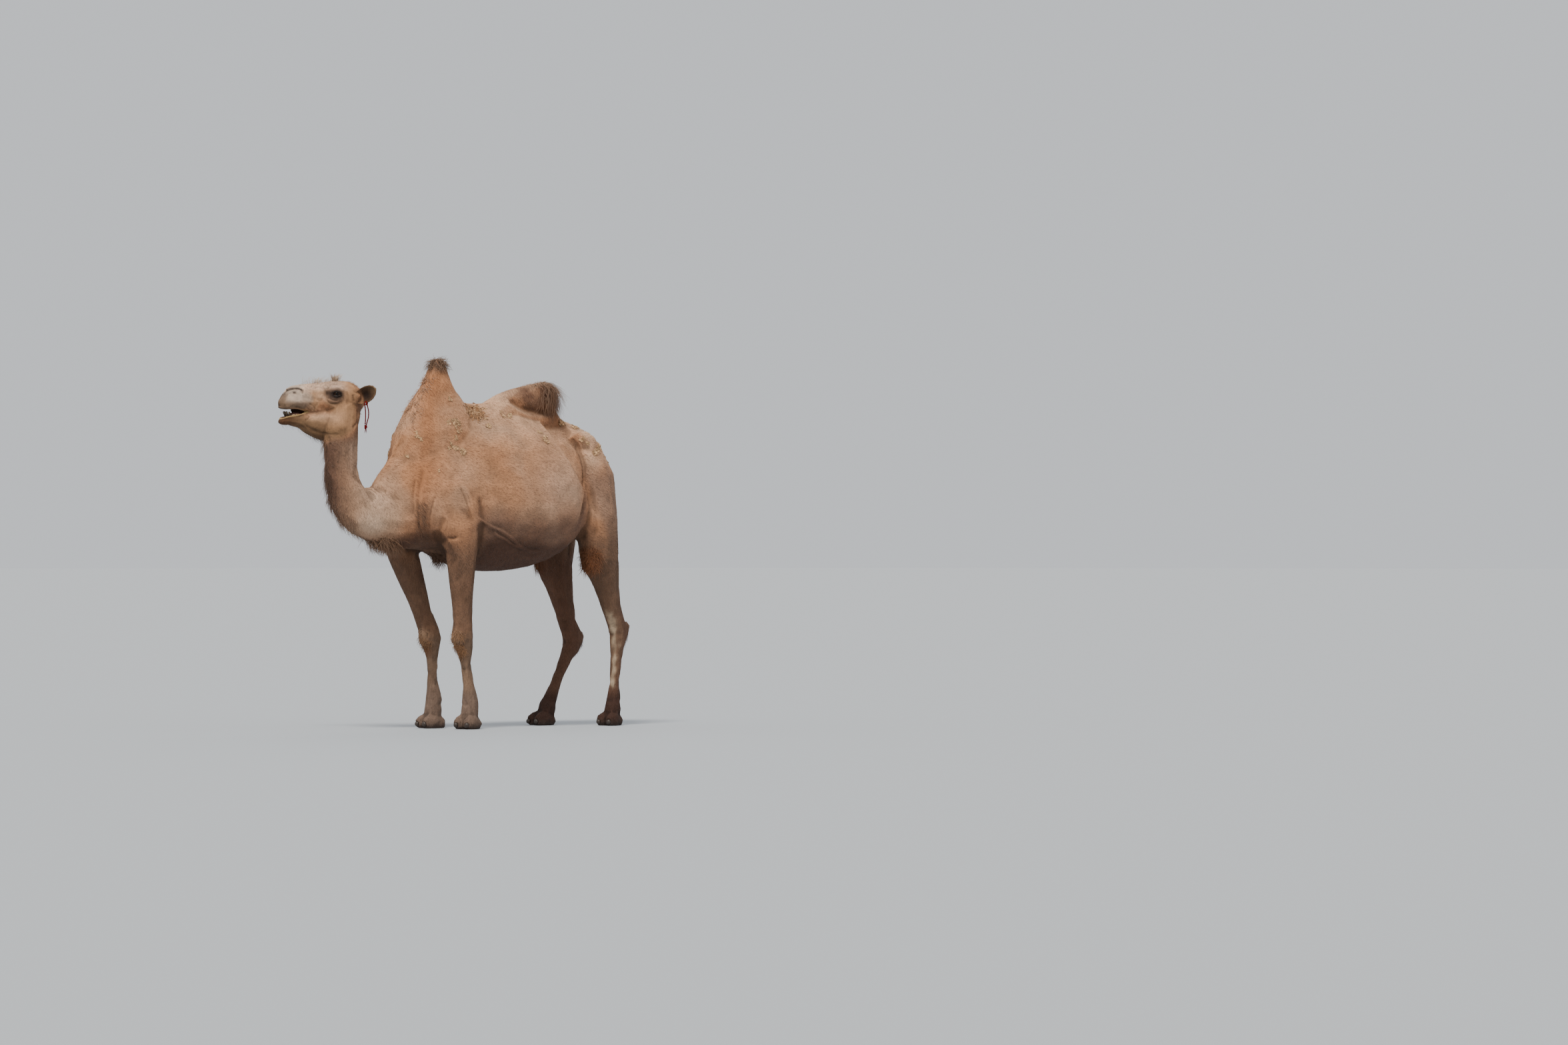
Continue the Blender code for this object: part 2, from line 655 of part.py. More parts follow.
def loose_parts(obj):
    """Each separate body of a mesh as a mesh of its own, with its middle and its longest side."""
    bm = bmesh.new()
    bm.from_mesh(obj.data)
    owner = {}
    for start in bm.verts:
        if start in owner:
            continue
        owner[start] = 0
        found, todo = [start], [start]
        while todo:
            for edge in todo.pop().link_edges:
                for v in edge.verts:
                    if v not in owner:
                        owner[v] = len(found)
                        found.append(v)
                        todo.append(v)
        own = set(found)
        faces = [[owner[v] for v in f.verts] for f in bm.faces if f.verts[0] in own]
        mesh = bpy.data.meshes.new("part")
        mesh.from_pydata([v.co[:] for v in found], [], faces)
        corners = points_of(mesh)
        yield mesh, Vector((corners.min(0) + corners.max(0)) / 2), np.ptp(corners, axis=0).max()
    bm.free()


def drop_crumbs(obj):
    """Keeps the largest body of a node, without what a cutter has chipped off it."""
    obj.data = max(loose_parts(obj), key=lambda part: part[2])[0]
    outward_normals(obj.data)


def part_body(body):
    for cutter in parting_slabs():
        boolean(body, cutter)
    seeds = node_seeds()
    for mesh, middle, size in loose_parts(body):
        if size < CRUMB:
            bpy.data.meshes.remove(mesh)
            continue
        name = min(seeds, key=lambda n: (seeds[n] - middle).length)
        seeds.pop(name)
        outward_normals(mesh)
        add_object(name, mesh)
    bpy.data.objects.remove(body)
    if seeds:
        raise ValueError(f"no part was cut for {sorted(seeds)}")


# --- The fused body ----------------------------------------------------------------------------
def softness(points):
    """How strongly each place is relaxed: joins of the big masses most, face and feet least."""
    head = np.array(on_head(0.25, 0, 1.80))
    near_head = np.exp(-(np.linalg.norm(points - head, axis=1) / 0.24) ** 4)
    near_foot = np.exp(-((points[:, 2] / 0.22) ** 4))
    lower_leg = np.exp(-((points[:, 2] / 0.70) ** 6))
    return 1.0 - 0.80 * near_head - 0.78 * near_foot * (1 - near_head) - 0.15 * lower_leg


def thin_out(body):
    """Spends the triangles where the shape is finest: on the head and feet."""
    points = points_of(body.data)
    head = np.array(on_head(0.25, 0, 1.80))
    near_head = np.exp(-(np.linalg.norm(points - head, axis=1) / 0.26) ** 4)
    near_foot = np.exp(-((points[:, 2] / 0.16) ** 4))
    near_leg = np.exp(-((points[:, 2] / 0.90) ** 8))
    near_hump = 1 / (1 + np.exp((1.74 - points[:, 2]) / 0.02))
    kept = [0.62 * near_head, 0.50 * near_foot, 0.35 * near_leg, 0.40 * near_hump]
    spare = 1.0 - np.maximum.reduce(kept)
    group = body.vertex_groups.new(name="spare")
    for level in range(11):
        members = np.flatnonzero(np.round(spare * 10) == level)
        group.add(members.tolist(), max(level / 10, 0.02), "REPLACE")
    thin = body.modifiers.new("thin", "DECIMATE")
    thin.ratio = NODE_BUDGET / (2 * len(body.data.polygons))
    thin.vertex_group = group.name
    thin.vertex_group_factor = 1.0
    bake_modifiers(body)
    body.vertex_groups.clear()


def stand_flat(body):
    """Cuts the soles level with the floor."""
    bm = bmesh.new()
    bm.from_mesh(body.data)
    everything = [*bm.verts, *bm.edges, *bm.faces]
    cut = bmesh.ops.bisect_plane(
        bm, geom=everything, plane_co=(0, 0, 0), plane_no=(0, 0, -1), clear_outer=True
    )
    edges = [e for e in cut["geom_cut"] if isinstance(e, bmesh.types.BMEdge)]
    bmesh.ops.holes_fill(bm, edges=edges)
    bm.to_mesh(body.data)
    bm.free()


def mouth_cutter():
    """The gape between the lips, running back as a thin cut that frees the jaw."""
    corner_back, corner_height = MOUTH_CORNER
    upper, lower = LIPS_APART
    half_width = GAPE_HALF_WIDTH
    outline = [  # distance back, top, bottom
        (-0.06, upper + 0.004, lower - 0.004),
        (0.06, upper - 0.005, lower + 0.006),
        (0.13, upper - 0.010, lower + 0.018),
        (corner_back, corner_height + CUT, corner_height - CUT),
        (JAW_BACK[0], JAW_BACK[1] + CUT / 2, JAW_BACK[1] - CUT / 2),
    ]
    verts, faces = [], []
    for back, top, bottom in outline:
        verts += [(back, side * half_width, z) for side in (-1, 1) for z in (top, bottom)]
    for k in range(0, 4 * (len(outline) - 1), 4):
        for a, b in ((0, 1), (1, 3), (3, 2), (2, 0)):
            faces.append((k + a, k + b, k + 4 + b, k + 4 + a))
    last = 4 * (len(outline) - 1)
    faces += [(0, 1, 3, 2), (last, last + 1, last + 3, last + 2)]
    mesh = bpy.data.meshes.new("gape")
    mesh.from_pydata(verts, [], faces)
    outward_normals(mesh)
    mesh.transform(head_frame())
    return add_object("gape", mesh)


def eye_matrix(side):
    """Carries +Z to the way the eye on this side looks, with the eyeball's middle at the origin."""
    ahead, out, up = EYE_LOOK
    look = Vector((ahead, side * out, up)).to_track_quat("Z", "X").to_matrix().to_4x4()
    return head_frame() @ Matrix.Translation((EYE[0], side * EYE[1], EYE[2])) @ look


def eye_ball(name, side, extra=0.0):
    mesh = bpy.data.meshes.new(name)
    bm = bmesh.new()
    bmesh.ops.create_uvsphere(bm, u_segments=14, v_segments=8, radius=EYE_RADIUS + extra)
    bm.to_mesh(mesh)
    bm.free()
    mesh.transform(eye_matrix(side))
    return add_object(name, mesh)


def eye_opening(side):
    """The almond between the lids, long along the head."""
    obj = blob("lids", (0, 0, 0), EYE_OPENING, detail=2)
    obj.data.transform(eye_matrix(side) @ Matrix.Translation((0, 0, EYE_OPENING_PLACE)))
    return obj


def carve_face(body):
    boolean(body, head_blob("mouth_hollow", *MOUTH_HOLLOW))
    for side in (LEFT, RIGHT):
        (back, out, height), radii = NOSTRIL
        slit = blob("nostril", (0, 0, 0), radii, detail=2)
        slit.data.transform(Matrix.Rotation(NOSTRIL_TILT, 4, "Y"))
        slit.data.transform(head_frame() @ Matrix.Translation((back, side * out, height)))
        boolean(body, slit)
        boolean(body, eye_ball("socket", side, GAP))
        boolean(body, eye_opening(side))
        slot = ear("ear_slot", side)
        swell(slot.data, 2 * GAP)
        boolean(body, slot)


# --- Pieces let into the body ------------------------------------------------------------------
def ear_frame(side):
    """Carries the ear's own axes, X along it and Z into its cup, to its root on the head."""
    out = Vector((0.66, side * 0.72, 0.20)).normalized()
    cup = Vector((-0.62, side * 0.60, -0.16))
    cup = (cup - out * cup.dot(out)).normalized()
    width = cup.cross(out)
    turn = Matrix((out, width, cup)).transposed().to_4x4()
    back, across, height = EAR_ROOT
    return head_frame() @ Matrix.Translation((back, side * across, height)) @ turn


def ear(name, side):
    """A cupped leaf: a half-tube at the root that opens out, then closes to a point that turns up."""
    rows, columns = 9, 8
    verts = []
    for i in range(rows):
        t = i / (rows - 1)
        half = EAR_WIDTH * (0.55 + 0.95 * t) * max(1 - t**2, 0.0) ** 0.8 + 0.003
        curl = math.radians(150 - 75 * t)
        radius = half / math.sin(min(curl, math.pi) / 2)
        for j in range(columns):
            a = curl * (j / (columns - 1) - 0.5)
            across = radius * math.sin(a) - side * EAR_TIP_RISE * t**2
            depth = radius * (1 - math.cos(a)) - radius * 0.45
            verts.append((EAR_LENGTH * t, across, depth))
    faces = [
        (i * columns + j, i * columns + j + 1, (i + 1) * columns + j + 1, (i + 1) * columns + j)
        for i in range(rows - 1)
        for j in range(columns - 1)
    ]
    mesh = bpy.data.meshes.new(name)
    mesh.from_pydata(verts, [], faces)
    obj = add_object(name, mesh)
    wall = obj.modifiers.new("wall", "SOLIDIFY")
    wall.thickness = EAR_WALL
    wall.offset = 0.0
    bake_modifiers(obj)
    obj.data.transform(ear_frame(side))
    outward_normals(obj.data)
    return obj


def make_teeth():
    """The lower incisors, grown into the jaw."""
    jaw = bpy.data.objects["lower_jaw"]
    middle, radius, height = TOOTH_ARC
    for k in range(TEETH):
        angle = math.radians(TOOTH_FAN * ((k + 0.5) / TEETH - 0.5))
        mesh = bpy.data.meshes.new("tooth")
        bm = bmesh.new()
        bmesh.ops.create_cube(bm, size=1.0)
        bm.to_mesh(mesh)
        bm.free()
        mesh.transform(Matrix.Diagonal((*TOOTH, 1.0)))
        mesh.transform(Matrix.Rotation(TOOTH_LEAN, 4, "Y"))
        mesh.transform(Matrix.Translation((-radius, 0, 0)))
        mesh.transform(Matrix.Rotation(angle, 4, "Z"))
        mesh.transform(head_frame() @ Matrix.Translation((middle, 0, height)))
        boolean(jaw, add_object("tooth", mesh), "UNION")


def make_eyes_and_ears():
    for name, side in SIDES.items():
        eye_ball(f"eye_{name}", side)
        ear(f"ear_{name}", side)


def make_tassel():
    """Two strands that hang from the lower rim of the left ear to a knot with a frayed tail."""
    for name, route in (("tassel_strand_front", STRAND_FRONT), ("tassel_strand_back", STRAND_BACK)):
        curve = bpy.data.curves.new(name, "CURVE")
        curve.dimensions = "3D"
        curve.bevel_depth = STRAND_DIAMETER / 2
        curve.bevel_resolution = 2
        curve.use_fill_caps = True
        points = smooth_run(route, steps=2)
        line = curve.splines.new("POLY")
        line.points.add(len(points) - 1)
        for point, place in zip(line.points, points):
            point.co = (*place, 1.0)
        add_object(name, curve)
    x, y, top = KNOT_TOP
    knot = blob("tassel_knot", (x, y, top - KNOT[2]), KNOT, detail=2)
    tail = blob("frayed_end", (x, y, top - 1.1 * KNOT[2] - FRAYED_END[2]), FRAYED_END, detail=2)
    boolean(knot, tail, "UNION")


def make_nails():
    for pair, name, joints, _ in leg_joints():
        foot = bpy.data.objects[f"{leg_name(pair, name)}_foot"]
        frame = foot_frame(pair, name, joints)
        for which, side in (("inner", -SIDES[name]), ("outer", SIDES[name])):
            place = nail_place(frame, side)
            pocket = blob("pocket", (0, 0, 0), [r + GAP for r in NAIL], detail=2)
            pocket.data.transform(place)
            boolean(foot, pocket)
            drop_crumbs(foot)
            nail = blob(f"nail_{pair}_{name}_{which}", (0, 0, 0), NAIL, detail=2)
            nail.data.transform(place)


def finish_node(obj):
    obj.data.transform(Matrix.Translation(ROW_SHIFT))
    paint(obj)
    if obj.type == "MESH":
        obj.data.shade_smooth()
        obj.data.set_sharp_from_angle(angle=SHARP)


def main():
    clear_scene()
    body = fuse("body", [*trunk_pieces(), loft("neck", NECK), *head_pieces(), *leg_pieces()])
    relax(body.data, RELAX_PASSES, softness)
    thin_out(body)
    stand_flat(body)
    carve_face(body)
    part_body(body)
    make_teeth()
    make_eyes_and_ears()
    make_nails()
    make_tassel()
    for obj in bpy.data.objects:
        finish_node(obj)


main()
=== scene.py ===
"""The looks of a bactrian camel in thin summer coat: skin, coat, eyes, teeth, nails and ear tassel.

Places are given on the body, in metres from the middle of the barrel on the floor: X towards the tail,
Y towards the camel's right and Z up. On the head they are (distance back from the tip of the muzzle,
side, height). Shapes are worked out in arrays of points and set in the row's frame at the end.
"""

import functools
import math

import bmesh
import bpy
import numpy as np
from mathutils import Matrix, Vector


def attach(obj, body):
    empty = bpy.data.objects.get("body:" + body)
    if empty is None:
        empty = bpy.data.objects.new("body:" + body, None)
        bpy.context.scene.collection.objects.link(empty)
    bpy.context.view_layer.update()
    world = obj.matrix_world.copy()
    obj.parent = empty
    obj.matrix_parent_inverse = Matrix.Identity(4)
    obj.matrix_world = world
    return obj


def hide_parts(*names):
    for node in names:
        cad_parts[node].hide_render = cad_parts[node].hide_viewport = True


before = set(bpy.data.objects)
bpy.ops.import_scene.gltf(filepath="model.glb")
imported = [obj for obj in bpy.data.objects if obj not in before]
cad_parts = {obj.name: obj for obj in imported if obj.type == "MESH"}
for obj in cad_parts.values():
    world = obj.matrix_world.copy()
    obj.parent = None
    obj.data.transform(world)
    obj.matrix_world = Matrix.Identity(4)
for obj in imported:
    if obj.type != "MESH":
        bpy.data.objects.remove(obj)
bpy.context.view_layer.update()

BODY = "root"
BARREL_MIDDLE = np.array([0.235, -0.0025, 0.0])  # in the row's frame
LEFT, RIGHT = -1, 1
SIDES = {"left": LEFT, "right": RIGHT}
HEAD_VOXEL = 0.0027
BODY_VOXEL = 0.0062
COLLAR_HEIGHT = 1.49  # where the finely made head joins the body, round the neck
COLLAR_FRONT = -0.85  # only the neck reaches ahead of this
BODY_TRIANGLES, HEAD_TRIANGLES = 104000, 86000

# --- The head's own axes, as the solids have them -------------------------------------------------
MUZZLE_TIP = (-1.385, 0.285)
HEAD_TURN = math.radians(23)
HEAD_SIZE = 0.98
HEAD_AXIS_FOOT = 0.95
EYE = (0.323, 0.0885, 1.862)
EYE_RADIUS = 0.023
EYE_LOOK = (-0.30, 1.0, 0.05)
EAR_ROOT = (0.441, 0.072, 1.843)
EAR_MIDDLE = (0.51, 0.14, 1.875)


def head_matrix():
    size = Matrix.Translation((0, 0, HEAD_AXIS_FOOT * (1 - HEAD_SIZE))) @ Matrix.Scale(HEAD_SIZE, 4)
    return size @ Matrix.Translation((*MUZZLE_TIP, 0)) @ Matrix.Rotation(-HEAD_TURN, 4, "Z")


HEAD = head_matrix()


def carried(matrix, points):
    """Points moved by a 4 x 4 matrix."""
    m = np.array(matrix)
    return np.asarray(points, float) @ m[:3, :3].T + m[:3, 3]


def on_head(points):
    return carried(HEAD, points)


def head_places(points):
    return carried(HEAD.inverted(), points)


def turned(way):
    """A direction on the head as a direction on the body."""
    return np.array(HEAD)[:3, :3] @ way


def mirrored(places, side):
    """Places on the right side, or their twins on the left."""
    return np.array(places) * (1, side, 1)


def ear_out(side):
    """The way an ear points, on the head."""
    return np.array((0.66, side * 0.72, 0.20))


def ear_cup(side):
    """The way an ear's hollow faces, on the head."""
    return np.array((-0.62, side * 0.60, -0.16))


def past_ear_root(points, side):
    """How far out along an ear each point lies."""
    return (points - on_head(mirrored(EAR_ROOT, side))) @ unit(turned(ear_out(side)))


# --- Camera, floor and light ----------------------------------------------------------------------
CAMERA_BEARING = (0.6820, 0.7314)  # the way it looks, on the ground plan
CAMERA_DISTANCE = 36.0
CAMERA_HEIGHT = 0.95
AIM_ASIDE = 1.627  # the middle of the picture lies this far to the right of the camel's middle
AIM_HEIGHT = 1.146
LENS, SENSOR = 147.7, 36.0
STUDIO_LIGHT = 0.76
KEY_LIGHT = 3.3
FLOOR_REACH = 400.0


def make_camera():
    ahead = Vector((*CAMERA_BEARING, 0)).normalized()
    aside = Vector((ahead.y, -ahead.x, 0))
    middle = Vector(BARREL_MIDDLE)
    data = bpy.data.cameras.new("camera")
    data.lens, data.sensor_width = LENS, SENSOR
    data.clip_end = 1200
    camera = bpy.data.objects.new("camera", data)
    bpy.context.scene.collection.objects.link(camera)
    camera.location = middle - ahead * CAMERA_DISTANCE + Vector((0, 0, CAMERA_HEIGHT))
    aim = middle + aside * AIM_ASIDE + Vector((0, 0, AIM_HEIGHT))
    camera.rotation_mode = "QUATERNION"
    camera.rotation_quaternion = (aim - camera.location).to_track_quat("-Z", "Y")
    bpy.context.scene.camera = camera


def make_light():
    """A pale studio with one soft key light from the upper left and a weak one from behind."""
    world = bpy.data.worlds.new("studio")
    bpy.context.scene.world = world
    world.use_nodes = True
    background = world.node_tree.nodes["Background"]
    background.inputs["Color"].default_value = (0.93, 0.96, 1.0, 1)
    background.inputs["Strength"].default_value = STUDIO_LIGHT
    for name, towards, power, softness, colour in (
        ("key", (-0.64, -0.38, 1.0), KEY_LIGHT, 14, (1.0, 0.95, 0.87)),
        ("back", (0.75, 0.55, 0.60), 0.55, 40, (1.0, 0.98, 0.95)),
    ):
        data = bpy.data.lights.new(name, "SUN")
        data.energy, data.color, data.angle = power, colour, math.radians(softness)
        lamp = bpy.data.objects.new(name, data)
        bpy.context.scene.collection.objects.link(lamp)
        lamp.rotation_mode = "QUATERNION"
        lamp.rotation_quaternion = Vector(towards).to_track_quat("Z", "Y")


def make_floor():
    mesh = bpy.data.meshes.new("floor")
    corners = [(a * FLOOR_REACH, b * FLOOR_REACH, 0) for a, b in ((-1, -1), (1, -1), (1, 1), (-1, 1))]
    mesh.from_pydata(corners, [], [(0, 1, 2, 3)])
    floor = bpy.data.objects.new("floor", mesh)
    bpy.context.scene.collection.objects.link(floor)
    mat, shader, _ = new_material("floor_plaster")
    shader.inputs["Base Color"].default_value = (0.413, 0.436, 0.462, 1)
    shader.inputs["Roughness"].default_value = 0.9
    mesh.materials.append(mat)


# --- Materials ------------------------------------------------------------------------------------
def new_material(name):
    made = bpy.data.materials.new(name)
    made.use_nodes = True
    return made, made.node_tree.nodes["Principled BSDF"], made.node_tree


class Nodes:
    """Adds nodes to a tree and links them."""

    def __init__(self, tree):
        self.tree = tree

    def add(self, kind, settings=(), **inputs):
        """A new node. Its inputs are given by name or, as n0, n1 and so on, by number."""
        node = self.tree.nodes.new(kind)
        for key, value in dict(settings).items():
            setattr(node, key, value)
        for key, value in inputs.items():
            socket = node.inputs[int(key[1:]) if key.startswith("n") else key]
            if isinstance(value, bpy.types.NodeSocket):
                self.tree.links.new(value, socket)
            else:
                socket.default_value = value
        return node

    def attribute(self, name):
        return self.add("ShaderNodeAttribute", {"attribute_name": name})

    def noise(self, where, scale, detail=2.0, roughness=0.5, stretch=(1, 1, 1)):
        moved = self.add("ShaderNodeMapping", n0=where, Scale=stretch).outputs[0]
        made = self.add("ShaderNodeTexNoise", n0=moved, Scale=scale, Detail=detail, Roughness=roughness)
        return made.outputs["Fac"]

    def place(self):
        return self.add("ShaderNodeTexCoord").outputs["Object"]

    def math(self, operation, a, b=0.0, c=0.0):
        return self.add("ShaderNodeMath", {"operation": operation}, n0=a, n1=b, n2=c).outputs[0]

    def spread(self, value, low, high, to_low=0.0, to_high=1.0):
        made = self.add("ShaderNodeMapRange", n0=value, n1=low, n2=high, n3=to_low, n4=to_high)
        return made.outputs[0]

    def blend(self, factor, a, b, how="MIX"):
        made = self.add("ShaderNodeMix", {"data_type": "RGBA", "blend_type": how}, n0=factor, n6=a, n7=b)
        return made.outputs[2]

    def toned(self, tone):
        """The piece's own coat colour, made lighter or darker by a tone."""
        grey = self.add("ShaderNodeCombineXYZ", n0=tone, n1=tone, n2=tone).outputs[0]
        return self.blend(1.0, self.attribute("coat").outputs["Color"], grey, "MULTIPLY")


def skin_material():
    """Short hair over skin: fine streaks along the lie of the coat, mottled at three scales."""
    made, shader, tree = new_material("camel_skin")
    n = Nodes(tree)
    where = n.place()
    marks = n.add("ShaderNodeSeparateXYZ", n0=n.attribute("marks").outputs["Vector"])
    upright, face = marks.outputs[0], marks.outputs[1]
    level_streaks = n.noise(where, 95, 3, 0.6, (0.20, 1.6, 1.6))
    upright_streaks = n.noise(where, 95, 3, 0.6, (1.6, 1.6, 0.20))
    streaks = n.add("ShaderNodeMix", n0=upright, n2=level_streaks, n3=upright_streaks).outputs[0]
    blotches = n.noise(where, 9, 5, 0.66)
    speckle = n.noise(where, 420, 2, 0.6)
    stains = n.noise(where, 34, 4, 0.7)
    tone = n.spread(blotches, 0.30, 0.70, 0.82, 1.14)
    tone = n.math("MULTIPLY", tone, n.spread(streaks, 0.25, 0.75, 0.80, 1.18))
    tone = n.math("MULTIPLY", tone, n.spread(speckle, 0.3, 0.7, 0.90, 1.08))
    tone = n.math("MULTIPLY", tone, n.spread(stains, 0.55, 0.70, 1.0, 0.78))
    tree.links.new(n.toned(tone), shader.inputs["Base Color"])
    shader.inputs["Roughness"].default_value = 0.90
    shader.inputs["Specular IOR Level"].default_value = 0.22
    pores = n.math("MULTIPLY", n.noise(where, 260, 3, 0.65), 0.35)
    lumps = n.math("MULTIPLY", n.noise(where, 40, 3, 0.6), 0.6)
    height = n.math("ADD", n.math("ADD", streaks, pores), lumps)
    height = n.math("MULTIPLY", height, n.spread(face, 0.0, 1.0, 1.0, 0.45))
    bump = n.add("ShaderNodeBump", Strength=0.6, Distance=0.0045, Height=height)
    tree.links.new(bump.outputs[0], shader.inputs["Normal"])
    return made


def painted_material(name, roughness, grain=0.0, gloss=0.0, shine=0.5, noise=(300, 4), sheen=0.0):
    """A finish whose colour comes from the piece's own coat attribute, with a fine grain."""
    made, shader, tree = new_material(name)
    n = Nodes(tree)
    tone = n.spread(n.noise(n.place(), *noise, 0.6), 0.3, 0.7, 1 - grain, 1 + grain)
    tree.links.new(n.toned(tone), shader.inputs["Base Color"])
    shader.inputs["Roughness"].default_value = roughness
    shader.inputs["Specular IOR Level"].default_value = shine
    shader.inputs["Coat Weight"].default_value = gloss
    shader.inputs["Coat Roughness"].default_value = 0.03
    shader.inputs["Sheen Weight"].default_value = sheen
    return made


# --- Arrays ---------------------------------------------------------------------------------------
def unit(v):
    return v / (np.linalg.norm(v, axis=-1, keepdims=True) + 1e-12)


def smoothstep(low, high, x):
    t = np.clip((x - low) / (high - low), 0, 1)
    return t * t * (3 - 2 * t)


def ripples(points, size, seed, waves=16):
    """A smooth random field, mostly between -1 and 1, whose patches are about `size` across."""
    rng = np.random.default_rng(seed)
    ways = unit(rng.normal(size=(waves, 3))) * rng.uniform(0.6, 1.5, (waves, 1)) * math.pi / size
    return np.cos(points @ ways.T + rng.uniform(0, 2 * math.pi, waves)).sum(1) * 0.75 / math.sqrt(waves)


def mesh_points(mesh):
    points = np.empty(len(mesh.vertices) * 3)
    mesh.vertices.foreach_get("co", points)
    return points.reshape(-1, 3)


def mesh_triangles(mesh):
    mesh.calc_loop_triangles()
    tris = np.empty(len(mesh.loop_triangles) * 3, np.int64)
    mesh.loop_triangles.foreach_get("vertices", tris)
    return tris.reshape(-1, 3)


def mesh_edges(mesh):
    edges = np.empty(len(mesh.edges) * 2, np.int64)
    mesh.edges.foreach_get("vertices", edges)
    return edges.reshape(-1, 2)


def new_mesh(name, points, faces):
    """A mesh from arrays of points and of faces that all have the same number of corners."""
    mesh = bpy.data.meshes.new(name)
    faces = np.asarray(faces, np.int32)
    count, corners = faces.shape
    mesh.vertices.add(len(points))
    mesh.vertices.foreach_set("co", np.asarray(points, np.float32).ravel())
    mesh.loops.add(count * corners)
    mesh.loops.foreach_set("vertex_index", faces.ravel())
    mesh.polygons.add(count)
    mesh.polygons.foreach_set("loop_start", np.arange(count, dtype=np.int32) * corners)
    mesh.polygons.foreach_set("loop_total", np.full(count, corners, np.int32))
    mesh.update(calc_edges=True)
    mesh.validate()
    return mesh


def face_crosses(points, tris):
    """Each triangle's normal, as long as twice its area."""
    a, b, c = (points[tris[:, k]] for k in range(3))
    return np.cross(b - a, c - a)


def normals_of(points, tris):
    face = face_crosses(points, tris)
    total = [sum(np.bincount(corner, column, len(points)) for corner in tris.T) for column in face.T]
    return unit(np.stack(total, 1))


def welded(points, tris):
    _, first, where = np.unique(np.round(points, 6), axis=0, return_index=True, return_inverse=True)
    tris = where.reshape(-1)[tris]
    whole = (tris[:, 0] != tris[:, 1]) & (tris[:, 1] != tris[:, 2]) & (tris[:, 2] != tris[:, 0])
    return points[first], tris[whole]


def largest_body(points, faces):
    """The biggest connected body of a mesh, without crumbs or bubbles."""
    label = np.arange(len(points))
    a, b = faces.ravel(), np.roll(faces, -1, axis=1).ravel()
    while True:
        low = np.minimum(label[a], label[b])
        before = label.copy()
        np.minimum.at(label, a, low)
        np.minimum.at(label, b, low)
        label = label[label]
        if (label == before).all():
            break
    names, counts = np.unique(label, return_counts=True)
    keep = label == names[counts.argmax()]
    fresh = np.cumsum(keep) - 1
    return points[keep], fresh[faces[keep[faces[:, 0]]]]


def neighbour_mean(values, edges):
    a, b = edges.T
    size = len(values)
    count = np.bincount(a, minlength=size) + np.bincount(b, minlength=size)
    total = [np.bincount(a, column[b], size) + np.bincount(b, column[a], size) for column in values.T]
    return np.stack(total, 1) / np.maximum(count, 1)[:, None]


def relaxed(points, edges, strength, passes, outwards=-0.57):
    """Evens out facets where the strength is above nothing. Passes in and out keep the volume."""
    near = edges[(strength > 0)[edges].any(1)]
    used = np.unique(near)
    near = np.searchsorted(used, near)
    part, power = points[used], strength[used][:, None]
    for k in range(passes):
        step = 0.55 if k % 2 == 0 else outwards
        part = part + step * power * (neighbour_mean(part, near) - part)
    points = points.copy()
    points[used] = part
    return points


def route_distance(points, route):
    """How far each point is from a polyline, and how far along it that is, from 0 to 1."""
    route = np.asarray(route, float)
    lengths = np.linalg.norm(np.diff(route, axis=0), axis=1)
    start = np.concatenate([[0], np.cumsum(lengths)])
    best = np.full(len(points), np.inf)
    along = np.zeros(len(points))
    for k, (a, b) in enumerate(zip(route, route[1:])):
        step = b - a
        t = np.clip((points - a) @ step / (step @ step), 0, 1)
        far = np.linalg.norm(points - a - t[:, None] * step, axis=1)
        nearer = far < best
        best[nearer] = far[nearer]
        along[nearer] = (start[k] + t[nearer] * lengths[k]) / start[-1]
    return best, along


def smooth_route(route, steps=6):
    rows = np.array(route, float)
    padded = np.vstack([2 * rows[0] - rows[1], rows, 2 * rows[-1] - rows[-2]])
    t = np.linspace(0, 1, steps, endpoint=False)[:, None]
    run = []
    for a, b, c, d in zip(padded, padded[1:], padded[2:], padded[3:]):
        bend = (2 * a - 5 * b + 4 * c - d) * t**2 + (3 * b - a - 3 * c + d) * t**3
        run.append(0.5 * (2 * b + (c - a) * t + bend))
    return np.vstack([*run, rows[-1:]])


# --- Plain shapes ---------------------------------------------------------------------------------
def grid_faces(rows, columns):
    """Triangles of a grid of points in rows, where each row is a closed ring."""
    faces = []
    for r in range(rows - 1):
        for c in range(columns):
            a, b = r * columns + c, r * columns + (c + 1) % columns
            faces += [(a, b, b + columns), (a, b + columns, a + columns)]
    return np.array(faces)


def tube(centre, across, other, radii, sides=8):
    """A closed tube round a run of centres, with two directions across it at each."""
    angle = np.linspace(0, 2 * math.pi, sides, endpoint=False)[None, :, None]
    ring = np.cos(angle) * across[:, None] + np.sin(angle) * other[:, None]
    points = (centre[:, None] + radii[:, None, None] * ring).reshape(-1, 3)
    points = np.vstack([points, centre[:1], centre[-1:]])
    first, last = len(points) - 2, len(points) - 1
    end = first - sides
    j = np.arange(sides)
    after = (j + 1) % sides
    ends = np.stack([0 * j + first, after, j, 0 * j + last, end + j, end + after], 1)
    return points, np.vstack([grid_faces(len(centre), sides), ends.reshape(-1, 3)])


def tube_along(run, beside, radii, sides=8):
    """A closed tube along a run, its rings started square to a direction beside it."""
    along = unit(np.gradient(run, axis=0))
    across = unit(np.cross(along, np.array(beside, float)))
    return tube(run, across, np.cross(along, across), radii, sides)


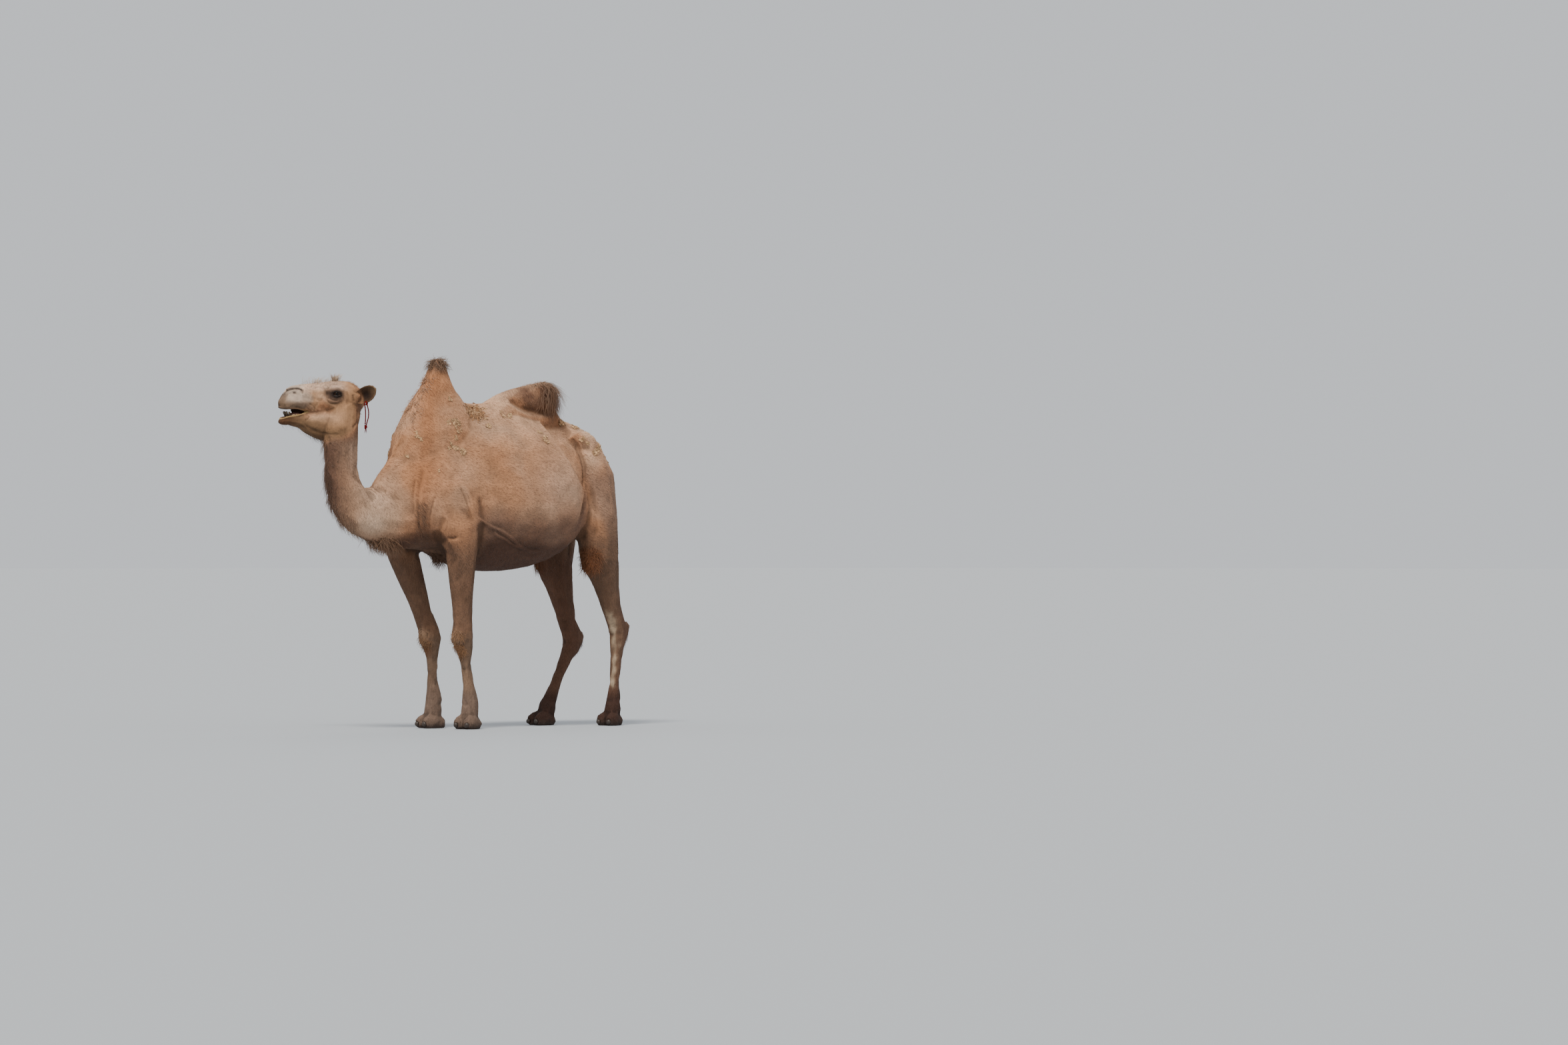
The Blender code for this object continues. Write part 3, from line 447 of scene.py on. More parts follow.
def rounded_box(size, power=3.2, rows=15, columns=24):
    """A box with round corners and edges, as points and triangles."""
    polar = np.linspace(0, math.pi, rows)[:, None]
    turn = np.linspace(0, 2 * math.pi, columns, endpoint=False)[None, :]
    round_ = np.sin(polar)
    way = np.stack([round_ * np.cos(turn), round_ * np.sin(turn), np.cos(polar) * np.ones_like(turn)], -1)
    reach = (np.abs(way) ** power).sum(-1) ** (-1 / power)
    points = (way * reach[..., None]).reshape(-1, 3) * np.array(size) / 2
    return points, grid_faces(rows, columns)[:, ::-1]


def rotation_about_y(angle):
    c, s = math.cos(angle), math.sin(angle)
    return np.array(((c, 0, s), (0, 1, 0), (-s, 0, c)))


# --- The skin's shape -----------------------------------------------------------------------------
APART = ("eye_", "nail_", "tassel_")
FLESH = [name for name in sorted(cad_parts) if not name.startswith(APART)]
BUST = ["head", "lower_jaw", "ear_left", "ear_right", "neck_upper"]
EARS = ["ear_left", "ear_right"]
CUT_SWELL = 0.0009  # closes the thin cuts between the nodes


def node_shell(name):
    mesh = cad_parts[name].data
    points, tris = welded(mesh_points(mesh) - BARREL_MIDDLE, mesh_triangles(mesh))
    points = points + CUT_SWELL * normals_of(points, tris)
    return (points if name != "lower_jaw" else without_teeth(points)), tris


def without_teeth(points):
    """Presses the solid's teeth down into the gum. They are pieces of their own here."""
    places = head_places(points)
    gum = np.interp(places[:, 0], (0.0, 0.05, 0.10, 0.12), (1.7380, 1.7405, 1.7440, 1.90))
    places[:, 2] = np.minimum(places[:, 2], gum)
    return on_head(places)


def stacked(shells):
    points, faces, used = [], [], 0
    for p, f in shells:
        points.append(p)
        faces.append(np.asarray(f) + used)
        used += len(p)
    return np.vstack(points), np.vstack(faces)


def voxel_skin(shells, size):
    """One even skin round overlapping closed shells."""
    points, faces = stacked(shells)
    obj = bpy.data.objects.new("voxels", new_mesh("voxels", points, faces))
    bpy.context.scene.collection.objects.link(obj)
    change = obj.modifiers.new("voxels", "REMESH")
    change.mode = "VOXEL"
    change.voxel_size = size
    graph = bpy.context.evaluated_depsgraph_get()
    made = bpy.data.meshes.new_from_object(obj.evaluated_get(graph), depsgraph=graph)
    quads = np.empty(len(made.loops), np.int64)
    made.loops.foreach_get("vertex_index", quads)
    out = mesh_points(made), quads.reshape(-1, 4)
    bpy.data.objects.remove(obj)
    bpy.data.meshes.remove(made)
    return largest_body(*out)


# The lids: an almond opening round the way the eye looks, in degrees.
LID_OPENING = (62.0, 30.0, 25.0)  # half-length, up, down
LID_THICKNESS = 0.0034
LID_REACH = 84.0
LID_COLUMNS, LID_ROWS = 64, 12


def eye_matrix(side):
    """Carries +Z to the way the eye looks and +X up, from the middle of the eyeball."""
    ahead, out, up = EYE_LOOK
    look = Vector((ahead, side * out, up)).to_track_quat("Z", "X").to_matrix().to_4x4()
    return HEAD @ Matrix.Translation((EYE[0], side * EYE[1], EYE[2])) @ look


def lid_edge(turn):
    """The opening's edge as (up, along) degrees from the way the eye looks, for turns from 0 to 2 pi."""
    length, up, down = LID_OPENING
    along = length * np.cos(turn)
    rise = np.abs(np.sin(turn)) ** 1.25
    return np.where(np.sin(turn) > 0, up, -down) * rise, along


def sphere_direction(up, along):
    """The unit vector that many degrees up and along from +Z."""
    angle = np.radians(np.hypot(up, along))
    round_ = np.arctan2(along, up)
    return np.stack([np.sin(angle) * np.cos(round_), np.sin(angle) * np.sin(round_), np.cos(angle)], -1)


def lid_shell(side):
    """The lids of one eye as a thick shell over its ball, rolled at the opening's edge."""
    turn = np.linspace(0, 2 * math.pi, LID_COLUMNS, endpoint=False)
    edge_up, edge_along = lid_edge(turn)
    layers = []
    for t in np.linspace(0, 1, LID_ROWS):
        share = t**1.2
        up = edge_up * (1 - share) + LID_REACH * np.sin(turn) * share
        along = edge_along * (1 - share) + LID_REACH * np.cos(turn) * share
        layers.append(sphere_direction(up, along))
    ways = np.array(layers)
    roll = 0.0010 * np.exp(-((np.linspace(0, 1, LID_ROWS) - 0.16) / 0.13) ** 2)
    outer = ways * (EYE_RADIUS + LID_THICKNESS + roll)[:, None, None]
    inner = ways * (EYE_RADIUS + 0.0003)
    points = np.vstack([outer.reshape(-1, 3), inner.reshape(-1, 3)])
    wall = grid_faces(LID_ROWS, LID_COLUMNS)
    inside = LID_ROWS * LID_COLUMNS
    last = inside - LID_COLUMNS
    one = np.arange(LID_COLUMNS)
    two = (one + 1) % LID_COLUMNS
    edges = [(one, inside + one, inside + two), (one, inside + two, two)]
    one, two = last + one, last + two
    edges += [(one, two, inside + two), (one, inside + two, inside + one)]
    faces = np.vstack([wall, inside + wall[:, ::-1], *(np.stack(edge, 1) for edge in edges)])
    return carried(eye_matrix(side), points), faces


# The rims of the lips, from the middle in front back to the corner: (back, side, height).
UPPER_RIM = ((0.012, 0.0, 1.7905), (0.015, 0.016, 1.7890), (0.026, 0.032, 1.7855), (0.040, 0.0395, 1.7825),
             (0.060, 0.0415, 1.7810), (0.080, 0.0375, 1.7815), (0.100, 0.0345, 1.7815),
             (0.120, 0.0325, 1.7785), (0.142, 0.0310, 1.7740), (0.168, 0.0315, 1.7700))
LOWER_RIM = ((0.019, 0.0, 1.7225), (0.023, 0.016, 1.7240), (0.034, 0.030, 1.7270), (0.050, 0.0350, 1.7315),
             (0.070, 0.0365, 1.7355), (0.090, 0.0385, 1.7385), (0.110, 0.0380, 1.7420),
             (0.130, 0.0340, 1.7490), (0.150, 0.0295, 1.7555), (0.170, 0.0290, 1.7595))
LIP_RADII = (0.0058, 0.0068)
LIP_PAD = ((0.050, 0.0, 1.7090), (0.044, 0.040, 0.0225))  # the hanging lower lip: middle, half-sizes


def lip_run(rim):
    """A rim from corner to corner of the mouth."""
    half = smooth_route(rim, 5)
    return np.vstack([mirrored(half[:0:-1], LEFT), half])


def lip_shell(rim, radius):
    """A tube along a lip's rim, thinner towards the corners of the mouth."""
    run = lip_run(rim)
    radii = radius * (1 - 0.45 * smoothstep(0.07, 0.165, run[:, 0]))
    points, faces = tube_along(run, (0, 0, 1), radii, 12)
    return on_head(points), faces


def clipped(points, faces, in_neck, above):
    """Keeps what is above or below the collar, looking only where in_neck(middle of a face) holds."""
    mesh = new_mesh("clip", points, faces)
    bm = bmesh.new()
    bm.from_mesh(mesh)
    bpy.data.meshes.remove(mesh)
    reach = [f for f in bm.faces if in_neck(f.calc_center_median())]
    around = {v for f in reach for v in f.verts} | {e for f in reach for e in f.edges} | set(reach)
    bmesh.ops.bisect_plane(
        bm,
        geom=sorted(around, key=lambda g: (type(g).__name__, g.index)),
        plane_co=(0, 0, COLLAR_HEIGHT + (0.002 if above else -0.002)),
        plane_no=(0, 0, 1),
        clear_inner=above,
        clear_outer=not above,
    )
    return bm


def skin_shape():
    """The head at a fine grain and the body at a coarser one, bridged at a collar round the neck."""
    head_shells = [node_shell(name) for name in BUST] + [lid_shell(side) for side in SIDES.values()]
    head_shells += [lip_shell(rim, radius) for rim, radius in zip((UPPER_RIM, LOWER_RIM), LIP_RADII)]
    middle, half_sizes = LIP_PAD
    points, faces = rounded_box(2 * np.array(half_sizes), 2.2)
    head_shells.append((on_head(points + np.array(middle)), faces))
    body_shells = [node_shell(name) for name in FLESH if name not in ("head", "lower_jaw", *EARS)]
    pieces = []
    for shells, size, above in ((head_shells, HEAD_VOXEL, True), (body_shells, BODY_VOXEL, False)):
        points, quads = voxel_skin(shells, size)
        bm = clipped(points, quads, lambda m: above or m.x < COLLAR_FRONT, above)
        bmesh.ops.triangulate(bm, faces=bm.faces)
        mesh = bpy.data.meshes.new("half")
        bm.to_mesh(mesh)
        bm.free()
        pieces.append(mesh)
    bm = bmesh.new()
    for mesh in pieces:
        bm.from_mesh(mesh)
        bpy.data.meshes.remove(mesh)
    rim = [e for e in bm.edges if e.is_boundary]
    bmesh.ops.bridge_loops(bm, edges=rim)
    bmesh.ops.triangulate(bm, faces=bm.faces)
    mesh = bpy.data.meshes.new("skin_shape")
    bm.to_mesh(mesh)
    bm.free()
    return mesh


def is_bust(points):
    return (points[:, 2] > COLLAR_HEIGHT) & (points[:, 0] < COLLAR_FRONT)


HEAD_EDGE = ((0.20, 0.27, 0.34, 0.40, 0.46, 0.52), (1.600, 1.606, 1.622, 1.652, 1.705, 1.765))  # back, height


def head_edge(points, shift=0.0):
    """How far each point lies below the edge of the head."""
    back, _, up = head_places(points).T
    return np.interp(back, *HEAD_EDGE) - up + shift


def head_share(points):
    """1 on the head and 0 on the body, fading over the throat and the nape."""
    near = (points[:, 0] < COLLAR_FRONT) & (points[:, 2] > COLLAR_HEIGHT)
    return smoothstep(0.020, -0.020, head_edge(points)) * near


def nearness(points, middle, radius, power=4):
    return np.exp(-((np.linalg.norm(points - np.asarray(middle), axis=1) / radius) ** power))


def facet_softness(points):
    bust = is_bust(points)
    feet = np.exp(-((points[:, 2] / 0.17) ** 4))
    legs = np.exp(-((points[:, 2] / 0.80) ** 8))
    return np.where(bust, 1.0, 1.0 - 0.5 * feet - 0.15 * legs)


def muzzle_softness(points):
    """The head's own share of evening out, less on lids, lips and ears."""
    places = head_places(points)
    keep = np.zeros(len(points))
    for side in SIDES.values():
        keep = np.maximum(keep, nearness(places, mirrored(EYE, side), 0.036))
        keep = np.maximum(keep, nearness(places, mirrored(EAR_MIDDLE, side), 0.085))
    keep = np.maximum(keep, 0.5 * nearness(places, (0.05, 0, 1.71), 0.07))
    head = is_bust(points) & (keep < 0.98)
    near = np.flatnonzero(head & (places[:, 0] < 0.20))
    for rim in (UPPER_RIM, LOWER_RIM):
        far, _ = route_distance(places[near], lip_run(rim))
        keep[near] = np.maximum(keep[near], 0.80 * np.exp(-((far / 0.011) ** 4)))
    return (1 - keep) * head


def coat_depth(points):
    """How deep the skin lies under the tips of the coat."""
    legs = np.exp(-((points[:, 2] / 0.90) ** 8))
    feet = np.exp(-((points[:, 2] / 0.20) ** 4))
    face = nearness(points, on_head((0.20, 0, 1.80)), 0.30)
    ears = np.zeros(len(points))
    for side in SIDES.values():
        ears = np.maximum(ears, nearness(points, on_head(mirrored(EAR_MIDDLE, side)), 0.075))
    depth = 0.0060 - 0.0022 * legs - 0.0012 * feet
    depth = depth * (1 - face) + 0.0026 * face
    return depth * (1 - ears) + 0.0008 * ears


# --- Folds, veins and hollows ---------------------------------------------------------------------
# Strokes on both flanks as seen from the side: route of (x, z), width, height.
FLANK_STROKES = (
    (((-0.40, 1.19), (-0.309, 1.132), (-0.215, 1.096), (-0.12, 1.045), (-0.03, 1.000), (0.085, 0.985),
      (0.156, 1.017)), 0.0075, 0.0075),
    (((-0.265, 1.112), (-0.242, 1.077), (-0.175, 1.048), (-0.10, 1.016), (-0.03, 1.000)), 0.0065, 0.0060),
    (((0.46, 1.64), (0.508, 1.54), (0.498, 1.43), (0.432, 1.32), (0.370, 1.21), (0.33, 1.12)),
     0.013, -0.0190),
    (((-0.375, 1.30), (-0.355, 1.21), (-0.335, 1.11), (-0.325, 0.99)), 0.020, -0.0105),
    (((-0.56, 1.50), (-0.49, 1.38), (-0.435, 1.28), (-0.405, 1.18), (-0.392, 1.09)), 0.016, 0.0050),
    (((-0.52, 1.43), (-0.46, 1.33), (-0.418, 1.22)), 0.006, -0.0032),
    (((-0.50, 1.36), (-0.45, 1.25), (-0.425, 1.15)), 0.006, -0.0030),
    (((-0.665, 1.45), (-0.700, 1.36), (-0.720, 1.26), (-0.708, 1.15), (-0.69, 1.08)), 0.014, -0.0065),
    (((-0.72, 1.40), (-0.745, 1.28), (-0.74, 1.18)), 0.007, -0.0040),
    (((-0.64, 1.30), (-0.655, 1.18), (-0.64, 1.08)), 0.007, -0.0040),
    (((-0.62, 1.10), (-0.56, 1.055), (-0.50, 1.06)), 0.010, -0.0060),
    (((0.02, 1.85), (0.10, 1.795), (0.20, 1.770), (0.31, 1.762), (0.40, 1.770)), 0.022, -0.0200),
    (((0.47, 1.72), (0.56, 1.68), (0.64, 1.63), (0.70, 1.56)), 0.020, 0.0060),
    (((0.60, 1.52), (0.66, 1.40), (0.66, 1.26), (0.62, 1.12)), 0.022, 0.0060),
    (((0.53, 1.36), (0.54, 1.20), (0.52, 1.05)), 0.018, -0.0060),
    (((0.70, 1.34), (0.70, 1.20), (0.69, 1.05), (0.72, 0.90)), 0.014, -0.0050),
    (((0.48, 1.01), (0.50, 0.93), (0.54, 0.86)), 0.024, 0.0080),
)
NOSTRIL = ((0.034, 1.864), (0.046, 1.879), (0.066, 1.889), (0.092, 1.894), (0.118, 1.893), (0.131, 1.884))
# Strokes on the head as seen from its side: route of (back, height), width, height.
HEAD_STROKES = (
    (((0.036, 1.874), (0.060, 1.900), (0.092, 1.908), (0.126, 1.904)), 0.0075, 0.0022),
    (((0.046, 1.862), (0.070, 1.877), (0.104, 1.882)), 0.0050, 0.0032),
    (NOSTRIL, 0.0042, -0.0110),
    (((0.080, 1.871), (0.088, 1.868), (0.096, 1.868)), 0.0046, -0.0048),
    (((0.128, 1.896), (0.137, 1.880), (0.132, 1.862)), 0.0060, -0.0030),
    (((0.020, 1.792), (0.060, 1.788), (0.110, 1.782), (0.160, 1.770)), 0.0055, 0.0022),
    (((0.030, 1.733), (0.080, 1.740), (0.130, 1.748), (0.168, 1.758)), 0.0050, 0.0028),
    (((0.150, 1.808), (0.178, 1.795), (0.196, 1.775), (0.196, 1.752)), 0.0075, 0.0015),
    (((0.160, 1.812), (0.190, 1.800), (0.212, 1.778)), 0.0050, -0.0009),
    (((0.142, 1.800), (0.165, 1.786), (0.182, 1.770)), 0.0045, -0.0014),
    (((0.178, 1.745), (0.168, 1.728), (0.148, 1.715)), 0.0070, -0.0030),
    (((0.272, 1.838), (0.290, 1.825), (0.315, 1.822), (0.335, 1.826)), 0.0060, 0.0026),
    (((0.262, 1.834), (0.278, 1.817), (0.302, 1.808), (0.330, 1.809)), 0.0050, -0.0026),
    (((0.280, 1.838), (0.300, 1.829), (0.325, 1.828)), 0.0035, -0.0018),
    (((0.282, 1.893), (0.310, 1.905), (0.345, 1.900), (0.368, 1.882)), 0.0080, 0.0050),
    (((0.372, 1.885), (0.385, 1.860), (0.385, 1.830), (0.372, 1.800)), 0.0090, -0.0018),
    (((0.395, 1.880), (0.402, 1.850), (0.400, 1.815)), 0.0080, 0.0015),
    (((0.230, 1.862), (0.250, 1.835), (0.262, 1.805), (0.262, 1.780)), 0.0100, 0.0030),
    (((0.120, 1.845), (0.160, 1.842), (0.210, 1.838), (0.255, 1.830)), 0.0140, -0.0035),
    (((0.240, 1.760), (0.290, 1.735), (0.335, 1.700), (0.360, 1.660)), 0.0200, 0.0045),
    (((0.130, 1.708), (0.175, 1.675), (0.230, 1.650), (0.290, 1.640), (0.345, 1.645)), 0.0090, -0.0040),
    (((0.405, 1.670), (0.440, 1.700), (0.455, 1.750), (0.450, 1.790)), 0.0100, -0.0055),
    (((0.415, 1.865), (0.420, 1.840), (0.425, 1.820)), 0.0080, -0.0030),
)


KNEES = ((-0.384, -0.166), (-0.368, 0.116))


def stroke(plane, facing, route, width, height):
    """How far a stroke raises each point, for places in a plane seen from the side that `facing` marks."""
    run = smooth_route(route)
    reach = width * 3
    near = ((plane > run.min(0) - reach) & (plane < run.max(0) + reach)).all(1) & (facing > 0)
    raised = np.zeros(len(plane))
    far, along = route_distance(plane[near], run)
    ends = smoothstep(0, 0.18, along) * smoothstep(0, 0.18, 1 - along)
    raised[near] = height * np.exp(-((far / width) ** 2)) * ends * facing[near]
    return raised


def body_relief(points, normals):
    """Folds and veins on the flanks, creases where the neck meets the back, and a little unevenness."""
    total = np.zeros(len(points))
    bust = is_bust(points)
    plane = points[:, [0, 2]]
    for side in SIDES.values():
        facing = smoothstep(0.0, 0.30, side * normals[:, 1]) * ~bust
        for route, width, height in FLANK_STROKES:
            total += stroke(plane, facing, route, width, height)
    wobble = ripples(points, 0.05, 3)
    notch = nearness(points, (-0.90, 0, 1.33), 0.13, 2)
    folds = np.sin((points[:, 0] + 0.25 * (points[:, 2] - 1.3)) * 2 * math.pi / 0.024 + 1.5 * wobble)
    total += 0.0014 * notch * folds
    flank = smoothstep(0.2, 0.5, np.abs(normals[:, 1])) * ~bust * smoothstep(0.95, 1.15, points[:, 2])
    total += 0.0030 * flank * ripples(points, 0.16, 5) + 0.0012 * flank * ripples(points, 0.045, 6)
    return total


def leg_relief(points):
    """Wrinkled callused knees, tendons down the cannons, and the split between the toes."""
    total = np.zeros(len(points))
    for x, y in KNEES:
        knee = nearness(points, (x - 0.055, y, 0.505), 0.055, 4)
        around = np.hypot(points[:, 1] - y, points[:, 2] - 0.515)
        total += 0.0030 * knee * np.cos(around * 2 * math.pi / 0.013 + ripples(points, 0.03, 8))
    low = smoothstep(0.46, 0.36, points[:, 2]) * smoothstep(0.14, 0.22, points[:, 2])
    total += 0.0016 * low * ripples(points * np.array([1, 1, 0.25]), 0.018, 9)
    return total


def head_relief(points, normals):
    """Folds, nostrils and lips on the head, a rough cheek, and the cleft of the upper lip."""
    places = head_places(points)
    bust = is_bust(points)
    outwards = normals @ np.array(HEAD)[:3, :3]  # the normals in the head's axes
    total = np.zeros(len(points))
    plane = places[:, [0, 2]]
    stray = 0.0022 * smoothstep(0.15, 0.22, places[:, 0])[:, None]
    plane = plane + stray * np.stack([ripples(places, 0.030, seed) for seed in (12, 13)], 1)
    for side in SIDES.values():
        facing = smoothstep(-0.15, 0.25, side * outwards[:, 1]) * (side * places[:, 1] > 0.004) * bust
        for route, width, height in HEAD_STROKES:
            total += stroke(plane, facing, route, width, height)
    cheek = nearness(places, (0.20, 0, 1.80), 0.10, 4) * smoothstep(0.3, 0.7, np.abs(outwards[:, 1])) * bust
    total += 0.0010 * cheek * ripples(points, 0.012, 11)
    philtrum = np.exp(-((places[:, 1] / 0.004) ** 2)) * smoothstep(0.05, 0.02, places[:, 0])
    total -= 0.0035 * philtrum * smoothstep(1.775, 1.80, places[:, 2]) * smoothstep(1.87, 1.84, places[:, 2])
    return total


def shaped_skin():
    """The skin's mesh: evened out, sunk by the coat's depth, and given its folds."""
    mesh = skin_shape()
    points, tris, edges = mesh_points(mesh), mesh_triangles(mesh), mesh_edges(mesh)
    points = relaxed(points, edges, facet_softness(points), 22)
    body_only = facet_softness(points) * ~is_bust(points)
    points = relaxed(points, edges, body_only, 40)
    points = relaxed(points, edges, muzzle_softness(points), 100, -0.50)
    nape = nearness(head_places(points), (0.495, 0, 1.770), 0.075) * is_bust(points)
    points = relaxed(points, edges, nape, 40, 0.0)
    normals = normals_of(points, tris)
    points = points - coat_depth(points)[:, None] * normals
    normals = normals_of(points, tris)
    relief = body_relief(points, normals) + leg_relief(points) + head_relief(points, normals)
    points = points + relief[:, None] * normals
    collar = smoothstep(0.050, 0.012, np.abs(points[:, 2] - COLLAR_HEIGHT)) * (points[:, 0] < COLLAR_FRONT)
    points = relaxed(points, edges, collar, 70, -0.48)
    points = relaxed(points, edges, np.full(len(points), 0.5), 2)
    points[:, 2] = np.maximum(points[:, 2], 0.0005)
    mesh.vertices.foreach_set("co", points.ravel())
    mesh.update()
    return thinned(mesh)


def thinned(mesh):
    """Leaves the triangles where the shape is finest, with a share of its own for the head."""
    for bust, most in ((False, BODY_TRIANGLES), (True, HEAD_TRIANGLES)):
        points = mesh_points(mesh)
        here = is_bust(points) == bust
        spare = here[mesh_triangles(mesh)].all(1).sum()
        obj = bpy.data.objects.new("thin", mesh)
        bpy.context.scene.collection.objects.link(obj)
        group = obj.vertex_groups.new(name="here")
        group.add(np.flatnonzero(here).tolist(), 1.0, "REPLACE")
        change = obj.modifiers.new("thin", "DECIMATE")
        change.ratio = min(1.0, (len(mesh.polygons) - spare + most) / len(mesh.polygons))
        change.vertex_group = group.name
        change.vertex_group_factor = 1.0
        change.use_collapse_triangulate = True
        graph = bpy.context.evaluated_depsgraph_get()
        mesh = bpy.data.meshes.new_from_object(obj.evaluated_get(graph), depsgraph=graph)
        bpy.data.objects.remove(obj)
    return mesh


# --- Markings -------------------------------------------------------------------------------------
TAN = (0.385, 0.184, 0.092)
REDDISH = (0.365, 0.150, 0.064)
GREYISH = (0.335, 0.205, 0.130)
CREAM = (0.580, 0.385, 0.255)
# dark brown of the belly; also painted shade on the underside and in the folds behind the elbows and before
# the thighs
BELLY_AND_SHADE = (0.075, 0.037, 0.024)
NECK_STRIP = (0.120, 0.064, 0.040)
MUZZLE = (0.500, 0.385, 0.300)
FOREHEAD = (0.580, 0.395, 0.285)
CHEEK = (0.365, 0.195, 0.098)
UPPER_LIP = (0.130, 0.078, 0.046)
LOWER_LIP = (0.072, 0.029, 0.012)
# the lower jaw's dark brown, partly painted shade on the lower jaw
JAW = (0.150, 0.084, 0.042)
EYE_RING = (0.022, 0.013, 0.010)
LIP = (0.450, 0.310, 0.140)
INNER_LIP = (0.230, 0.135, 0.050)
# painted shade inside the mouth
MOUTH_SHADE = (0.018, 0.009, 0.006)
EAR_BACK = (0.080, 0.036, 0.018)
# painted shade deep in the hollow of the ear
EAR_CUP_SHADE = (0.022, 0.012, 0.009)
EAR_INSIDE = (0.095, 0.050, 0.026)
FORELEG = (0.122, 0.067, 0.041)
FORESHANK = (0.145, 0.092, 0.060)
FOREFOOT = (0.140, 0.092, 0.068)
HIND_DARK = (0.105, 0.051, 0.031)
HIND_MID = (0.125, 0.069, 0.041)
THIGH = (0.215, 0.128, 0.086)
STRIPE = (0.37, 0.275, 0.185)
ORANGE = (0.190, 0.066, 0.020)
REAR_HUMP = (0.105, 0.050, 0.030)
HIND_FOOT = (0.036, 0.017, 0.012)
SOLE = (0.050, 0.034, 0.028)
# dark skin round the eyes; also painted shade in the fold at the corner of the mouth and under the upper lip
DARK_SKIN_AND_SHADE = (0.120, 0.074, 0.056)
FLANK_GREY = (0.42, 0.290, 0.210)
SHOULDER_GREY = (0.22, 0.140, 0.098)
NECK_GREY = (0.44, 0.310, 0.225)
# partly brown coat, partly painted shadow of the head on the upper neck
NECK_BROWN_AND_SHADOW = (0.170, 0.100, 0.064)
# partly pale coat, partly a painted highlight at the bend of the neck
NECK_BEND = (0.52, 0.360, 0.250)
# painted shadow under the jaw
UNDER_JAW_SHADOW = (0.100, 0.056, 0.036)
STREAK = (0.25, 0.100, 0.042)
# painted shade in the crease behind the shoulder
CREASE_SHADE = (0.14, 0.075, 0.045)
# partly the barrel's darker coat, partly painted shade low on the barrel
LOW_BARREL = (0.115, 0.064, 0.045)
# painted shadow under the flap of the rear hump
HUMP_SHADOW = (0.100, 0.044, 0.022)
HUMP_TIP = (0.14, 0.080, 0.050)
TAIL = (0.20, 0.120, 0.075)
CHEEK_RED = (0.33, 0.135, 0.062)
# painted shade in the nostril's slit
NOSTRIL_SHADE = (0.022, 0.014, 0.011)
# painted shade in the folds round the nostril
NOSE_FOLD_SHADE = (0.10, 0.072, 0.058)
LID_DARK = (0.011, 0.007, 0.006)
EAR_RIM = (0.030, 0.019, 0.014)
EAR_TIP = (0.34, 0.220, 0.120)
ABOVE_LIP = (0.24, 0.125, 0.062)
GUM = (0.060, 0.032, 0.018)
KNEE_CALLUS = (0.33, 0.200, 0.120)
CANNON_PALE = (0.30, 0.180, 0.105)
# Round washes on each side of the body: colour, strength, middle on the right, radius, graininess.
SIDE_WASHES = (
    (GREYISH, 0.60, (-0.60, 0.17, 1.24), 0.10, 0),
    (FLANK_GREY, 0.55, (0.18, 0.37, 1.33), 0.20, 0),
    (CREAM, 0.30, (0.34, 0.33, 1.50), 0.13, 0),
    (CREAM, 0.30, (-0.45, 0.22, 1.42), 0.12, 0),
    (SHOULDER_GREY, 0.60, (-0.28, 0.31, 1.12), 0.13, 0),
    (CREAM, 0.72, (-0.93, 0.09, 1.155), 0.105, 0.25),
    (CREAM, 0.42, (-0.99, 0.06, 1.26), 0.10, 0),
    (CREAM, 0.35, (-0.84, 0.11, 1.20), 0.09, 0),
    # painted shade behind the elbow and in the crease behind the shoulder
    (BELLY_AND_SHADE, 0.80, (-0.66, 0.14, 1.07), 0.080, 0),
    (CREASE_SHADE, 0.50, (-0.71, 0.17, 1.20), 0.055, 0),
)
# Dark skin round each eye: colour, strength, middle from the eye's own, half-sizes, sharpness.
EYE_WASHES = (
    (DARK_SKIN_AND_SHADE, 0.85, (-0.014, 0, -0.010), (0.062, 0.09, 0.044), 3),
    (EYE_RING, 0.95, (-0.008, 0, 0.002), (0.046, 0.09, 0.029), 4),
    (LID_DARK, 0.85, (-0.004, 0, 0.001), (0.034, 0.09, 0.021), 6),
    (EYE_RING, 0.75, (-0.050, 0, 0.010), (0.020, 0.09, 0.018), 2),
    # painted shade in the fold below the eye
    (EYE_RING, 0.50, (-0.020, 0, -0.048), (0.034, 0.09, 0.008), 2),
)
# Routes of washes, on the right side or in the middle.
SHOULDER_STREAK = ((-0.50, 0.04, 1.93), (-0.58, 0.09, 1.75), (-0.62, 0.13, 1.60), (-0.66, 0.155, 1.45),
                   (-0.69, 0.17, 1.30), (-0.68, 0.16, 1.12))
ARMPIT = ((-0.37, 0.25, 1.30), (-0.345, 0.27, 1.20), (-0.33, 0.28, 1.06), (-0.35, 0.26, 0.98))
FLANK_FOLD = ((0.47, 0.17, 1.62), (0.51, 0.20, 1.52), (0.50, 0.23, 1.42), (0.44, 0.28, 1.31),
              (0.38, 0.32, 1.20), (0.34, 0.33, 1.11))
UNDER_HUMP = ((0.08, 0.10, 1.80), (0.20, 0.12, 1.775), (0.33, 0.11, 1.77), (0.41, 0.09, 1.76))
NECK_FRONT = ((-1.12, 0.10, 1.66), (-1.16, 0.07, 1.56), (-1.175, 0.06, 1.42), (-1.13, 0.04, 1.24),
              (-1.01, 0.02, 1.09), (-0.86, 0.01, 1.01))
NECK_SIDES = (((-1.0, 0.16, 1.55), (-0.99, 0.14, 1.40), (-0.93, 0.11, 1.28)),
              ((-1.0, 0.02, 1.55), (-0.99, -0.03, 1.40), (-0.93, -0.07, 1.28)))
BELOW_JAW = ((0.330, 0, 1.600), (0.405, 0, 1.630), (0.455, 0, 1.680))
